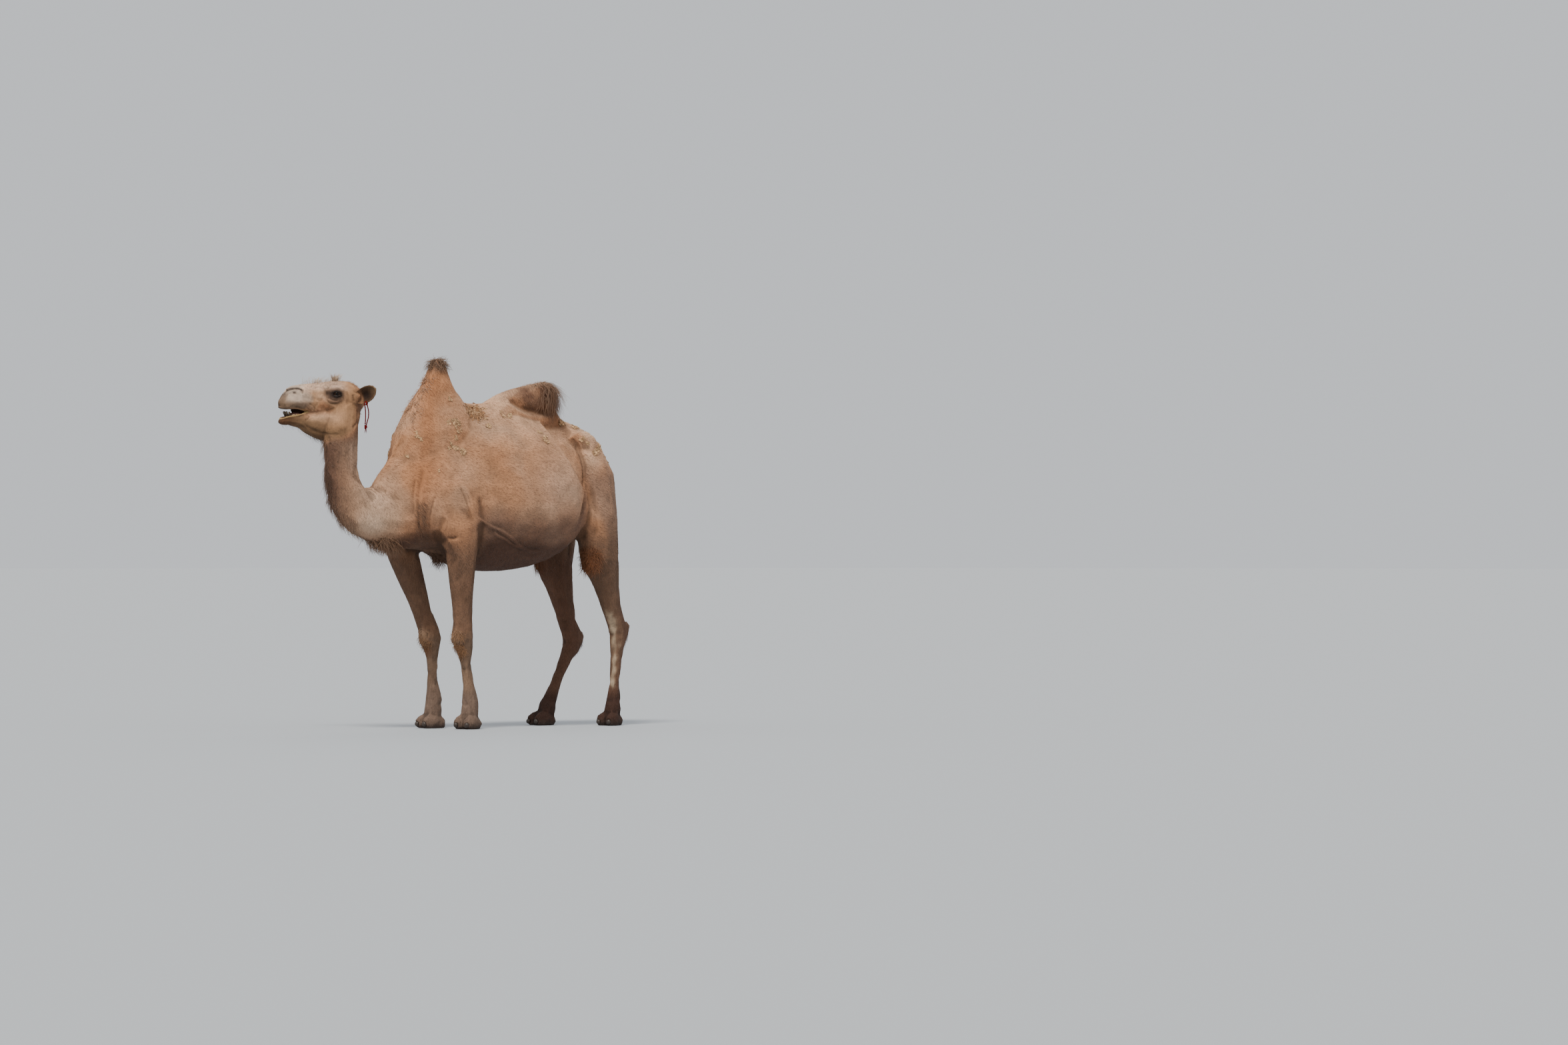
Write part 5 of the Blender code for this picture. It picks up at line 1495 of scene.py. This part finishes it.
def grow_short_coat(skin, material):
    count = SHORT_TUFTS
    root, rng = skin.roots(count, short_coat_density(skin), 101)
    points = root["points"]
    back = head_places(points)[:, 0]
    ears = ear_share(points)
    face = head_share(points) * smoothstep(0.50, 0.40, back)
    low = smoothstep(0.95, 0.75, points[:, 2])
    muzzle = smoothstep(0.30, 0.05, back) * face
    face = np.maximum(face, ears)
    length = (0.0230 - 0.009 * low) * (1 - face) + (0.0105 - 0.0045 * muzzle) * face
    width = (0.0016 - 0.0003 * low) * (1 - face) + 0.0008 * face
    length = length * rng.uniform(0.7, 1.25, count) * (1 - 0.45 * ears)
    width = width * rng.uniform(0.8, 1.3, count)
    lift = (0.052 - 0.012 * face) * rng.uniform(0.5, 1.5, count)
    root["colour"] = root["colour"] * 1.08
    parts = tuft_arrays(root, rng, length, width, lift, 2, stray=0.20, clump=0.25, flat=0.18, foot=1.0)
    coat_pieces("short_coat", parts, material)


# --- Long hair and shed wool ----------------------------------------------------------------------
def grow(skin, material, name, density, count, seed, length, width, lift, rings, tint, share, **shape):
    """Locks where the density is above nothing, tinted by that share towards a colour of their own.

    Length, width and lift are each a range.
    """
    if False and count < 2000:
        count //= 2
    root, rng = skin.roots(count, density, seed)
    root["colour"] = root["colour"] * (1 - share) + np.array(tint) * share
    sizes = [rng.uniform(*pair, count) for pair in (length, width, lift)]
    coat_pieces(name, tuft_arrays(root, rng, *sizes, rings, **shape), material)


def grow_long_hair(skin, material):
    p, n = skin.middles, skin.face_normals
    places = head_places(p)
    bust = is_bust(p)
    x, y, z = p.T
    hair = functools.partial(grow, skin, material)

    neck = (x < -0.78) & (z > 0.96) & (z < 1.62)
    front = smoothstep(0.62, 0.92, n @ unit(np.array((-0.90, 0.1, -0.42))))
    hair("neck_hair", neck * front * (0.3 + smoothstep(-0.3, 0.8, ripples(p, 0.05, 31))), 900, 31,
         (0.025, 0.060), (0.0010, 0.0020), (0.15, 0.45), 5,
         NECK_STRIP, 0.5, droop=0.35, stray=0.35, clump=0.5)
    low_bend = nearness(p, (-0.83, 0.015, 1.03), 0.085, 4) * smoothstep(0.1, 0.6, -n[:, 2])
    hair("breast_hair", low_bend, 900, 32, (0.035, 0.080), (0.0014, 0.0028), (0.2, 0.5), 6,
         (0.20, 0.105, 0.055), 0.7, droop=0.55, stray=0.35, clump=0.9)
    crease = ((-0.71, 0.175, 1.24), (-0.705, 0.165, 1.12))
    creases = sum(along_route(p, mirrored(crease, side), 0.024) for side in SIDES.values())
    hair("shoulder_hair", creases, 260, 33, (0.030, 0.065), (0.0012, 0.0024), (0.05, 0.15), 5,
         (0.17, 0.090, 0.050), 0.7, droop=0.2, stray=0.2, clump=0.6)
    keel = nearness(p, (-0.46, 0.0, 0.92), 0.06, 4) * smoothstep(-0.1, 0.5, -n[:, 2])
    hair("keel_hair", keel, 260, 34, (0.020, 0.050), (0.0014, 0.0026), (0.1, 0.3), 5,
         (0.15, 0.080, 0.045), 0.7, droop=0.7, stray=0.5, clump=0.8)

    jaw = bust * smoothstep(0.45, 0.8, -n[:, 2]) * (places[:, 0] < 0.34) * (z < 1.68)
    hair("jaw_hair", jaw * (0.2 + smoothstep(0.12, 0.3, places[:, 0])), 420, 35, (0.012, 0.042),
         (0.0006, 0.0012), (0.3, 0.7), 5, (0.08, 0.048, 0.032), 0.75, droop=0.35, stray=0.4, clump=0.3)
    crown = nearness(places, (0.340, 0.0, 1.945), 0.019, 4)
    crown = crown + 0.16 * nearness(places, (0.235, 0, 1.935), 0.022, 4)
    crown = crown + 0.03 * nearness(places, (0.25, 0, 1.935), 0.11, 6)
    crown = bust * crown * smoothstep(0.3, 0.7, n[:, 2])
    hair("crown_hair", crown, 620, 36, (0.012, 0.046), (0.0007, 0.0016), (0.7, 1.5), 5,
         (0.62, 0.46, 0.32), 0.75, stray=0.5, clump=1.6)
    rims = np.zeros(len(p))
    for side in SIDES.values():
        on_ear = bust * (past_ear_root(p, side) > 0.03) * (side * places[:, 1] > 0.03)
        rims += on_ear * smoothstep(0.75, 0.3, np.abs(n @ unit(turned(ear_cup(side)))))
    hair("ear_hair", rims, 300, 37, (0.004, 0.010), (0.0005, 0.0009), (0.10, 0.3), 4,
         (0.16, 0.085, 0.045), 0.6, stray=0.5)
    poll = bust * nearness(places, (0.43, 0, 1.89), 0.05, 4) * (np.abs(places[:, 1]) < 0.045)
    hair("poll_hair", poll, 200, 38, (0.012, 0.026), (0.0007, 0.0013), (0.2, 0.5), 4, CHEEK, 0.3, stray=0.5)

    tip = smoothstep(1.985, 2.03, z) * (x < 0) * ~bust
    hair("front_hump_tip", tip, 520, 41, (0.025, 0.060), (0.0012, 0.0024), (0.25, 0.7), 6,
         (0.22, 0.135, 0.085), 0.6, stray=0.5, clump=0.9, curl=0.05)
    slope = along_route(p, [(-0.66, 0, 1.62), (-0.60, 0, 1.78), (-0.53, 0, 1.93)], 0.05) * ~bust
    slope = slope * (0.15 + smoothstep(0.2, 0.9, ripples(p, 0.045, 42)))
    hair("front_hump_fringe", slope, 420, 42, (0.015, 0.035), (0.0014, 0.0026), (0.3, 0.8), 5,
         CREAM, 0.5, stray=0.9, clump=0.8, curl=0.12)
    rear = smoothstep(0.22, 0.36, x) * smoothstep(1.80, 1.86, z) * (x < 0.6)
    hair("rear_hump_hair", rear, 1500, 43, (0.045, 0.110), (0.0010, 0.0020), (0.12, 0.40), 7,
         (0.27, 0.165, 0.105), 0.65, droop=0.45, stray=0.40, clump=0.9, curl=0.04)
    ridge = smoothstep(1.90, 1.94, z) * (x > 0.0) * (x < 0.3)
    hair("rear_hump_ridge", ridge, 300, 44, (0.015, 0.035), (0.0012, 0.0022), (0.2, 0.5), 5,
         CREAM, 0.3, stray=0.5)

    tail = (x > 0.86) & (np.abs(y) < 0.07) & (z < 1.20) & (z > 0.9)
    hair("tail_hair", tail * 1.0, 900, 45, (0.050, 0.11), (0.0014, 0.0026), (0.1, 0.3), 6,
         (0.13, 0.075, 0.045), 0.8, droop=0.4, stray=0.3, clump=0.5)
    stifle = nearness(p, (0.485, -0.25, 0.935), 0.070, 4) + 0.6 * nearness(p, (0.52, 0.25, 0.915), 0.055, 4)
    hair("stifle_hair", stifle, 900, 46, (0.022, 0.050), (0.0014, 0.0030), (0.15, 0.45), 6,
         ORANGE, 0.65, droop=0.35, stray=0.6, clump=1.0, curl=0.07)
    knees = nearness(p, (-0.435, -0.178, 0.435), 0.042, 4)
    knees += 0.5 * nearness(p, (-0.425, -0.18, 0.52), 0.035, 4)
    knees += 0.45 * nearness(p, (-0.425, 0.116, 0.475), 0.04, 4)
    hair("knee_hair", knees, 620, 47, (0.014, 0.034), (0.0012, 0.0026), (0.25, 0.6), 5,
         (0.30, 0.150, 0.065), 0.7, droop=0.2, stray=0.8, clump=0.9, curl=0.12)
    heels = sum(nearness(p, place, 0.05, 4) for place in ((0.84, -0.178, 0.50), (0.80, 0.146, 0.45)))
    hair("hock_hair", heels * smoothstep(0.2, 0.7, n[:, 0]), 240, 48, (0.012, 0.028), (0.0010, 0.002),
         (0.15, 0.4), 4, HIND_DARK, 0.6, droop=0.3, stray=0.4)


# Where moulted wool still clings, on both flanks: place, then how far it spreads.
SHED_WOOL = (
    ((-0.400, 0.150, 1.685), 0.020), ((-0.458, 0.193, 1.547), 0.022), ((-0.179, 0.163, 1.674), 0.022),
    ((0.166, 0.248, 1.616), 0.018), ((-0.237, 0.074, 1.764), 0.030), ((-0.043, 0.128, 1.745), 0.016),
    ((0.528, 0.189, 1.614), 0.020), ((0.620, 0.194, 1.546), 0.024), ((-0.424, 0.096, 1.829), 0.012),
    ((-0.608, 0.196, 1.437), 0.010), ((-0.152, 0.044, 1.793), 0.024), ((0.658, 0.173, 1.574), 0.022),
    ((-0.434, 0.147, 1.698), 0.018), ((-0.390, 0.159, 1.658), 0.016), ((-0.492, 0.180, 1.568), 0.014),
    ((-0.412, 0.204, 1.541), 0.018), ((0.157, 0.217, 1.651), 0.012), ((0.176, 0.257, 1.602), 0.014),
    ((-0.180, 0.175, 1.660), 0.012), ((0.002, 0.130, 1.746), 0.018), ((-0.180, 0.114, 1.730), 0.012),
    ((-0.440, 0.175, 1.615), 0.010), ((0.470, 0.100, 1.720), 0.020), ((0.560, 0.070, 1.690), 0.026),
    ((0.640, 0.080, 1.640), 0.026), ((0.700, 0.090, 1.570), 0.024), ((0.740, 0.130, 1.500), 0.020),
    ((0.760, 0.120, 1.430), 0.016), ((-0.640, 0.070, 1.600), 0.018), ((-0.680, 0.060, 1.520), 0.014),
)


def along_route(points, route, radius):
    far, _ = route_distance(points, smooth_route(route, 4))
    return np.exp(-((far / radius) ** 4))


def wool_density(p):
    """How thickly moulted wool clings to each triangle, in ragged patches on both flanks."""
    density = np.zeros(len(p))
    rng = np.random.default_rng(51)
    for place, spread in SHED_WOOL:
        for side in SIDES.values():
            jitter = rng.normal(0, 0.012, 3) * (side > 0)
            middle = mirrored(place, side) + jitter
            middle = p[((p - middle) ** 2).sum(1).argmin()]
            turn = rotation_about_y(rng.uniform(0, math.pi))
            offset = (p - middle) @ turn.T / (spread * np.array((1.7, 1.2, 0.6)))
            density += np.exp(-((offset**2).sum(1) ** 2))
    return density * smoothstep(-0.15, 0.30, ripples(p, 0.018, 52))


def grow_shed_wool(skin, material):
    p = skin.middles
    shed = wool_density(p)
    matted = nearness(p, (-0.215, -0.085, 1.767), 0.05, 3) + nearness(p, (-0.205, 0.085, 1.767), 0.045, 3)
    for name, where, count, seed, size, tint in (
        ("shed_wool", shed, 2300, 53, (0.004, 0.0170), (0.60, 0.375, 0.195)),
        ("matted_wool", matted, 620, 54, (0.004, 0.0160), (0.36, 0.170, 0.070)),
    ):
        root, rng = skin.roots(count, where, seed)
        root["colour"] = 0.20 * root["colour"] + 0.80 * np.array(tint)
        coat_pieces(name, flake_arrays(root, rng, size), material, smooth=False)
    grow(skin, material, "wool_threads", shed + 2 * matted, 2600, 55, (0.010, 0.026), (0.0009, 0.0020),
         (0.10, 0.60), 4, (0.50, 0.315, 0.185), 0.80, droop=0.25, stray=1.7, clump=1.2, curl=0.16, flat=0.5)


# --- Eyes, lids, mouth and nails ------------------------------------------------------------------


IRIS = np.array((0.030, 0.013, 0.006))
EYE_WHITE = np.array((0.060, 0.036, 0.026))
LID_MARGIN = (0.030, 0.018, 0.013)
LASHES = (0.045, 0.028, 0.02)


def eyeball(side):
    """A ball with a clear bulge in front, its brown iris and level pupil in the colours of its points."""
    rows, columns = 72, 96
    polar = np.linspace(0, math.pi, rows)[:, None]
    turn = np.linspace(0, 2 * math.pi, columns, endpoint=False)[None, :]
    degrees = np.degrees(polar)
    radius = EYE_RADIUS - 0.0003 + 0.0014 * np.exp(-((degrees / 30) ** 4))
    up = radius * np.sin(polar) * np.cos(turn)
    along = radius * np.sin(polar) * np.sin(turn)
    points = np.stack([up, along, radius * np.cos(polar) * np.ones_like(turn)], -1).reshape(-1, 3)
    angle = degrees * np.ones_like(turn)
    level = (degrees * np.sin(turn) / 19) ** 2 + (degrees * np.cos(turn) / 8) ** 2
    streaks = 1 + 0.35 * np.sin(31 * turn) * np.sin(47 * turn + 1.0)
    iris = IRIS * (streaks * smoothstep(0, 40, angle))[..., None]
    colour = iris + (EYE_WHITE - iris) * smoothstep(40, 47, angle)[..., None]
    colour = colour * (1 - smoothstep(1.25, 0.85, level))[..., None] + 0.0025
    return carried(eye_matrix(side), points), grid_faces(rows, columns)[:, ::-1], colour.reshape(-1, 3)


def lid_margin(side):
    """The wet rim of the lids, a soft ring round the opening."""
    turn = np.linspace(0, 2 * math.pi, 97)[:-1]
    up, along = lid_edge(turn)
    outer, inner = sphere_direction(up, along), sphere_direction(up * 0.80, along * 0.94)
    rings = []
    for angle in np.linspace(0, 2 * math.pi, 8, endpoint=False):
        blend = 0.5 + 0.5 * math.cos(angle)
        way = unit(outer * (1 - blend) + inner * blend)
        rings.append(way * (EYE_RADIUS + 0.0012 + 0.0019 * math.sin(angle)))
    points = np.stack(rings, 1).reshape(-1, 3)
    return carried(eye_matrix(side), points), grid_faces(len(turn) + 1, 8) % len(points)


def make_eyes(skin, hair):
    glass = painted_material("eye", 0.10, 0.0, 0.28, 0.0)
    wet = painted_material("lid_margin", 0.30, 0.15, 0.15, 0.2)
    lashes = []
    for name, side in SIDES.items():
        points, faces, colour = eyeball(side)
        add_piece(f"eyeball_{name}", points, faces, glass, "eye", colour, [f"eye_{name}"])
        points, faces = lid_margin(side)
        add_piece(f"lid_margin_{name}", points, faces, wet, "skin", evenly(LID_MARGIN, points))
        lashes += [(f"lashes_{name}_upper", side, True), (f"lashes_{name}_lower", side, False)]
    for k, (name, side, upper) in enumerate(lashes):
        points, ways, normals, length = lash_roots(side, upper)
        root = {"points": points, "normals": normals, "lie": ways, "colour": evenly(LASHES, points),
                "map": skin.map_near(points)}
        rng = np.random.default_rng(80 + k)
        length = length * rng.uniform(0.75, 1.15, len(points))
        droop = 0.22 if upper else -0.10
        parts = tuft_arrays(root, rng, length, 0.00085, 0.16, 5, droop=droop, stray=0.16)
        coat_pieces(name, parts, hair)


def lash_roots(side, upper):
    """Roots, ways and standing directions of the lashes along one lid, and how long they are."""
    count = 90 if upper else 40
    turn = np.linspace(math.radians(14), math.radians(166), count)
    if not upper:
        turn = -np.linspace(math.radians(40), math.radians(140), count)
    up, along = lid_edge(turn)
    sign = 1 if upper else -1
    ways = sphere_direction(up, along)
    points = ways * (EYE_RADIUS + 0.0030)
    aim = unit(ways + np.array((0.25 * sign, 0, 0.55)) + np.stack([0 * along, along / 160, 0 * along], 1))
    stand = unit(np.cross(np.cross(aim, np.array((1.0, 0, 0))), aim)) * sign
    m = np.array(eye_matrix(side))[:3, :3]
    length = (0.019 if upper else 0.008) * (0.7 + 0.3 * np.sin(np.abs(turn)))
    return carried(eye_matrix(side), points), unit(aim @ m.T), unit(stand @ m.T), length


TEETH = 6
TOOTH = (0.0105, 0.0136, 0.0385)
TOOTH_LEAN = math.radians(-24)
TOOTH_ARC = (0.079, 0.032, 1.748)  # middle, radius and height, on the head
TOOTH_FAN = 150  # degrees between the outer teeth
TOOTH_IVORY = np.array((0.125, 0.092, 0.056))
TOOTH_STAIN = np.array((0.030, 0.020, 0.012))
TONGUE = np.array((0.16, 0.075, 0.06))
PAPILLA_DARK = np.array((0.17, 0.085, 0.032))
PAPILLA_PALE = np.array((0.36, 0.225, 0.094))
NAIL_VOXEL = 0.0018
NAIL_RIDGES = 0.0032  # from one growth ridge to the next
HORN = np.array((0.036, 0.023, 0.016))


def make_teeth():
    middle, radius, height = TOOTH_ARC
    shells, colours = [], []
    for k in range(TEETH):
        angle = math.radians(TOOTH_FAN * ((k + 0.5) / TEETH - 0.5))
        points, faces = rounded_box(TOOTH, 4.2)
        share = points[:, 2:] / TOOTH[2] + 0.5
        stain = smoothstep(0.95, 0.55, share) * (0.7 + 0.3 * ripples(points + k, 0.006, 72))[:, None]
        points *= (1 - 0.22 * (1 - share)) * (1, 1 - 0.12 * (k % 2), 1) + (0, 0, 0.22) * (1 - share)
        points[:, 2] += 0.0024 * math.sin(2.3 * k)
        colours.append(TOOTH_IVORY * (1 - stain) + TOOTH_STAIN * stain)
        place = HEAD @ Matrix.Translation((middle, 0, height)) @ Matrix.Rotation(angle, 4, "Z")
        place = place @ Matrix.Translation((-radius, 0, 0)) @ Matrix.Rotation(TOOTH_LEAN, 4, "Y")
        shells.append((carried(place, points), faces))
    ivory = painted_material("tooth", 0.50, 0.25, 0.05, 0.15)
    add_piece("lower_incisors", *stacked(shells), ivory, "tooth", np.vstack(colours))


def make_papillae(wet):
    """Small fleshy lumps inside the cheeks, along the lower lip."""
    lumps, shades = [], []
    rng = np.random.default_rng(73)
    for side in SIDES.values():
        for back in np.linspace(0.070, 0.118, 11):
            size = rng.uniform((0.005, 0.005, 0.004), (0.017, 0.009, 0.014))
            points, faces = rounded_box(size, 2.3, 13, 18)
            points = points @ rotation_about_y(rng.uniform(-0.7, 0.7)).T
            points *= 1 + 0.30 * ripples(points + back, 0.0045, 74)[:, None]
            back += rng.normal(0, 0.0025)
            height = np.interp(back, *rim_heights(LOWER_RIM)) + rng.uniform(0.0005, 0.0060)
            half = np.interp(back, *np.array(LOWER_RIM)[:, :2].T) - rng.uniform(0.007, 0.011)
            lumps.append((on_head(points + np.array((back, side * half, height))), faces))
            shade = PAPILLA_DARK + rng.uniform() * (PAPILLA_PALE - PAPILLA_DARK)
            shades.append(shade * (1 + 0.35 * ripples(points, 0.004, 75))[:, None])
    add_piece("cheek_papillae", *stacked(lumps), wet, "skin", np.vstack(shades))


def make_mouth():
    dark = painted_material("mouth_depth", 0.90, 0.0, 0.0, 0.0)
    wet = painted_material("mouth_lining", 0.40, 0.30, 0.3)
    make_teeth()
    points, faces = rounded_box((0.110, 0.046, 0.022), 2.4, 21, 32)
    points[:, 2] += 0.006 * np.cos(points[:, 0] * 28) - 0.9 * points[:, 1] ** 2 / 0.046
    shade = TONGUE * (1 + 0.2 * ripples(points, 0.01, 71))[:, None]
    add_piece("tongue", on_head(points + np.array((0.120, 0, 1.7475))), faces, wet, "skin", shade)
    # the palate is a near-black matte box: painted shade inside the mouth
    points, faces = rounded_box((0.112, 0.040, 0.040), 2.6, 21, 32)
    points[:, 2] -= 0.10 * points[:, 0]
    points = on_head(points + np.array((0.138, 0, 1.7690)))
    add_piece("palate", points, faces, dark, "skin", evenly(MOUTH_SHADE, points))
    make_papillae(wet)


def make_nails():
    horn = painted_material("horn", 0.45, 0.22)
    for node in sorted(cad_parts):
        if not node.startswith("nail_"):
            continue
        points, quads = voxel_skin([node_shell(node)], NAIL_VOXEL)
        tris = np.vstack([quads[:, [0, 1, 2]], quads[:, [0, 2, 3]]])
        sides = np.vstack([tris[:, [0, 1]], tris[:, [1, 2]], tris[:, [2, 0]]])
        edges = np.unique(np.sort(sides, axis=1), axis=0)
        points = relaxed(points, edges, np.ones(len(points)), 16)
        ridges = 1 + 0.12 * np.sin(points[:, 2] * 2 * math.pi / NAIL_RIDGES)
        name = node.replace("nail", "claw")
        add_piece(name, points, tris, horn, "horn", HORN * ridges[:, None], [node])


# --- Ear tassel -----------------------------------------------------------------------------------
STRAND_DIAMETER = 0.008
STRAND_FRONT = (
    (-0.9645, -0.0006, 1.7893),
    (-0.9637, -0.0007, 1.7835),
    (-0.9597, -0.0010, 1.7680),
    (-0.9575, -0.0010, 1.7400),
    (-0.9580, -0.0010, 1.7050),
    (-0.9605, -0.0010, 1.6793),
)
STRAND_BACK = (
    (-0.9563, -0.0117, 1.7914),
    (-0.9545, -0.0111, 1.7850),
    (-0.9475, -0.0090, 1.7690),
    (-0.9400, -0.0060, 1.7450),
    (-0.9410, -0.0040, 1.7150),
    (-0.9515, -0.0010, 1.6793),
)
KNOT_TOP = (-0.9560, -0.0010, 1.6790)
KNOT_THREADS = 7


def red_material():
    made, shader, tree = new_material("red_wool")
    n = Nodes(tree)
    where = n.add("ShaderNodeTexCoord").outputs["Object"]
    fuzz = n.noise(where, 500, 3, 0.6)
    colour = n.blend(n.spread(fuzz, 0.3, 0.7), (0.035, 0.0004, 0.0006, 1), (0.24, 0.0016, 0.0022, 1))
    tree.links.new(colour, shader.inputs["Base Color"])
    shader.inputs["Roughness"].default_value = 0.85
    shader.inputs["Specular IOR Level"].default_value = 0.08
    bump = n.add("ShaderNodeBump", Strength=0.4, Distance=0.001, Height=fuzz)
    tree.links.new(bump.outputs[0], shader.inputs["Normal"])
    return made


def twisted_strand(route, plies=2, twist=0.016):
    """Two plies wound round one another along the route, as one closed tube each."""
    run = smooth_route(route, 14)
    along = unit(np.gradient(run, axis=0))
    across = unit(np.cross(along, np.array([0, 1.0, 0])))
    other = np.cross(along, across)
    length = np.concatenate([[0], np.cumsum(np.linalg.norm(np.diff(run, axis=0), axis=1))])
    radius = STRAND_DIAMETER / 4
    shells = []
    for ply in range(plies):
        angle = 2 * math.pi * (length / twist + ply / plies)
        centre = run + radius * (across * np.cos(angle)[:, None] + other * np.sin(angle)[:, None])
        shells.append(tube(centre, across, other, np.full(len(run), radius)))
    return stacked(shells)


def make_tassel():
    red = red_material()
    knot = make_knot(red)
    for name, route in (("tassel_front", STRAND_FRONT), ("tassel_back", STRAND_BACK)):
        node = name.replace("tassel", "tassel_strand")
        piece = add_piece(name, *twisted_strand(route), red, "red_cord", replaces=[node])


def make_loop(skin):
    """Two turns of the yarn through the edge of the ear, over the tops of the strands."""
    rim = (np.array(STRAND_FRONT[0]) + np.array(STRAND_BACK[0])) / 2
    near = skin.points[np.linalg.norm(skin.points - rim - (0, 0, 0.010), axis=1) < 0.019]
    middle = near.mean(0)
    across = np.linalg.svd(near - middle, full_matrices=False)[2][2]
    up = unit(middle - rim)
    up = unit(up - (up @ across) * across)
    beside = np.cross(across, up)
    shells = []
    for shift, lean in ((-0.0042, 0.15), (0.0036, -0.20)):
        turn = np.linspace(0, 2 * math.pi, 37)
        run = np.cos(turn)[:, None] * (up + lean * beside) * 0.0150 + np.sin(turn)[:, None] * across * 0.0064
        run = rim + up * 0.0105 + beside * shift + run
        along = unit(np.gradient(run, axis=0))
        along[0] = along[-1] = unit(run[1] - run[-2])
        shells.append(tube(run, beside + 0 * run, np.cross(along, beside), np.full(len(run), 0.0030)))
    add_piece("tassel_loop", *stacked(shells), bpy.data.materials["red_wool"], "red_cord")


def make_knot(red):
    x, y, top = KNOT_TOP
    turn = np.linspace(0, 2 * math.pi * 2.6, 60)
    height = top - 0.003 - 0.018 * np.linspace(0, 1, 60)
    wrap = np.stack([x + 0.0052 * np.cos(turn), y + 0.0052 * np.sin(turn), height], 1)
    shells = [tube_along(wrap, (0, 0, 1), np.full(60, 0.0034))]
    rng = np.random.default_rng(7)
    t = np.linspace(0, 1, 8)
    spread = 0.002 + 0.004 * t
    for k in range(KNOT_THREADS):
        a = 2 * math.pi * k / KNOT_THREADS
        across = x + spread * np.cos(a) + 0.002 * rng.normal() * t
        beside = y + spread * np.sin(a) + 0.001 * t
        down = top - 0.018 - 0.032 * t * rng.uniform(0.7, 1)
        thread = np.stack([across, beside, down], 1)
        shells.append(tube_along(thread, (0, 1, 0), 0.0014 * (1 - 0.7 * t), 6))
    return add_piece("tassel_end", *stacked(shells), red, "red_cord", replaces=["tassel_knot"])


def main():
    make_camera()
    make_tassel()
    make_floor()
    make_light()
    skin = make_skin()
    hair = painted_material("camel_coat", 0.85, 0.12, 0.0, 0.15, (340, 2), 0.10)
    grow_short_coat(skin, hair)
    grow_long_hair(skin, hair)
    grow_shed_wool(skin, hair)
    make_eyes(skin, hair)
    make_mouth()
    make_nails()
    make_loop(skin)


main()
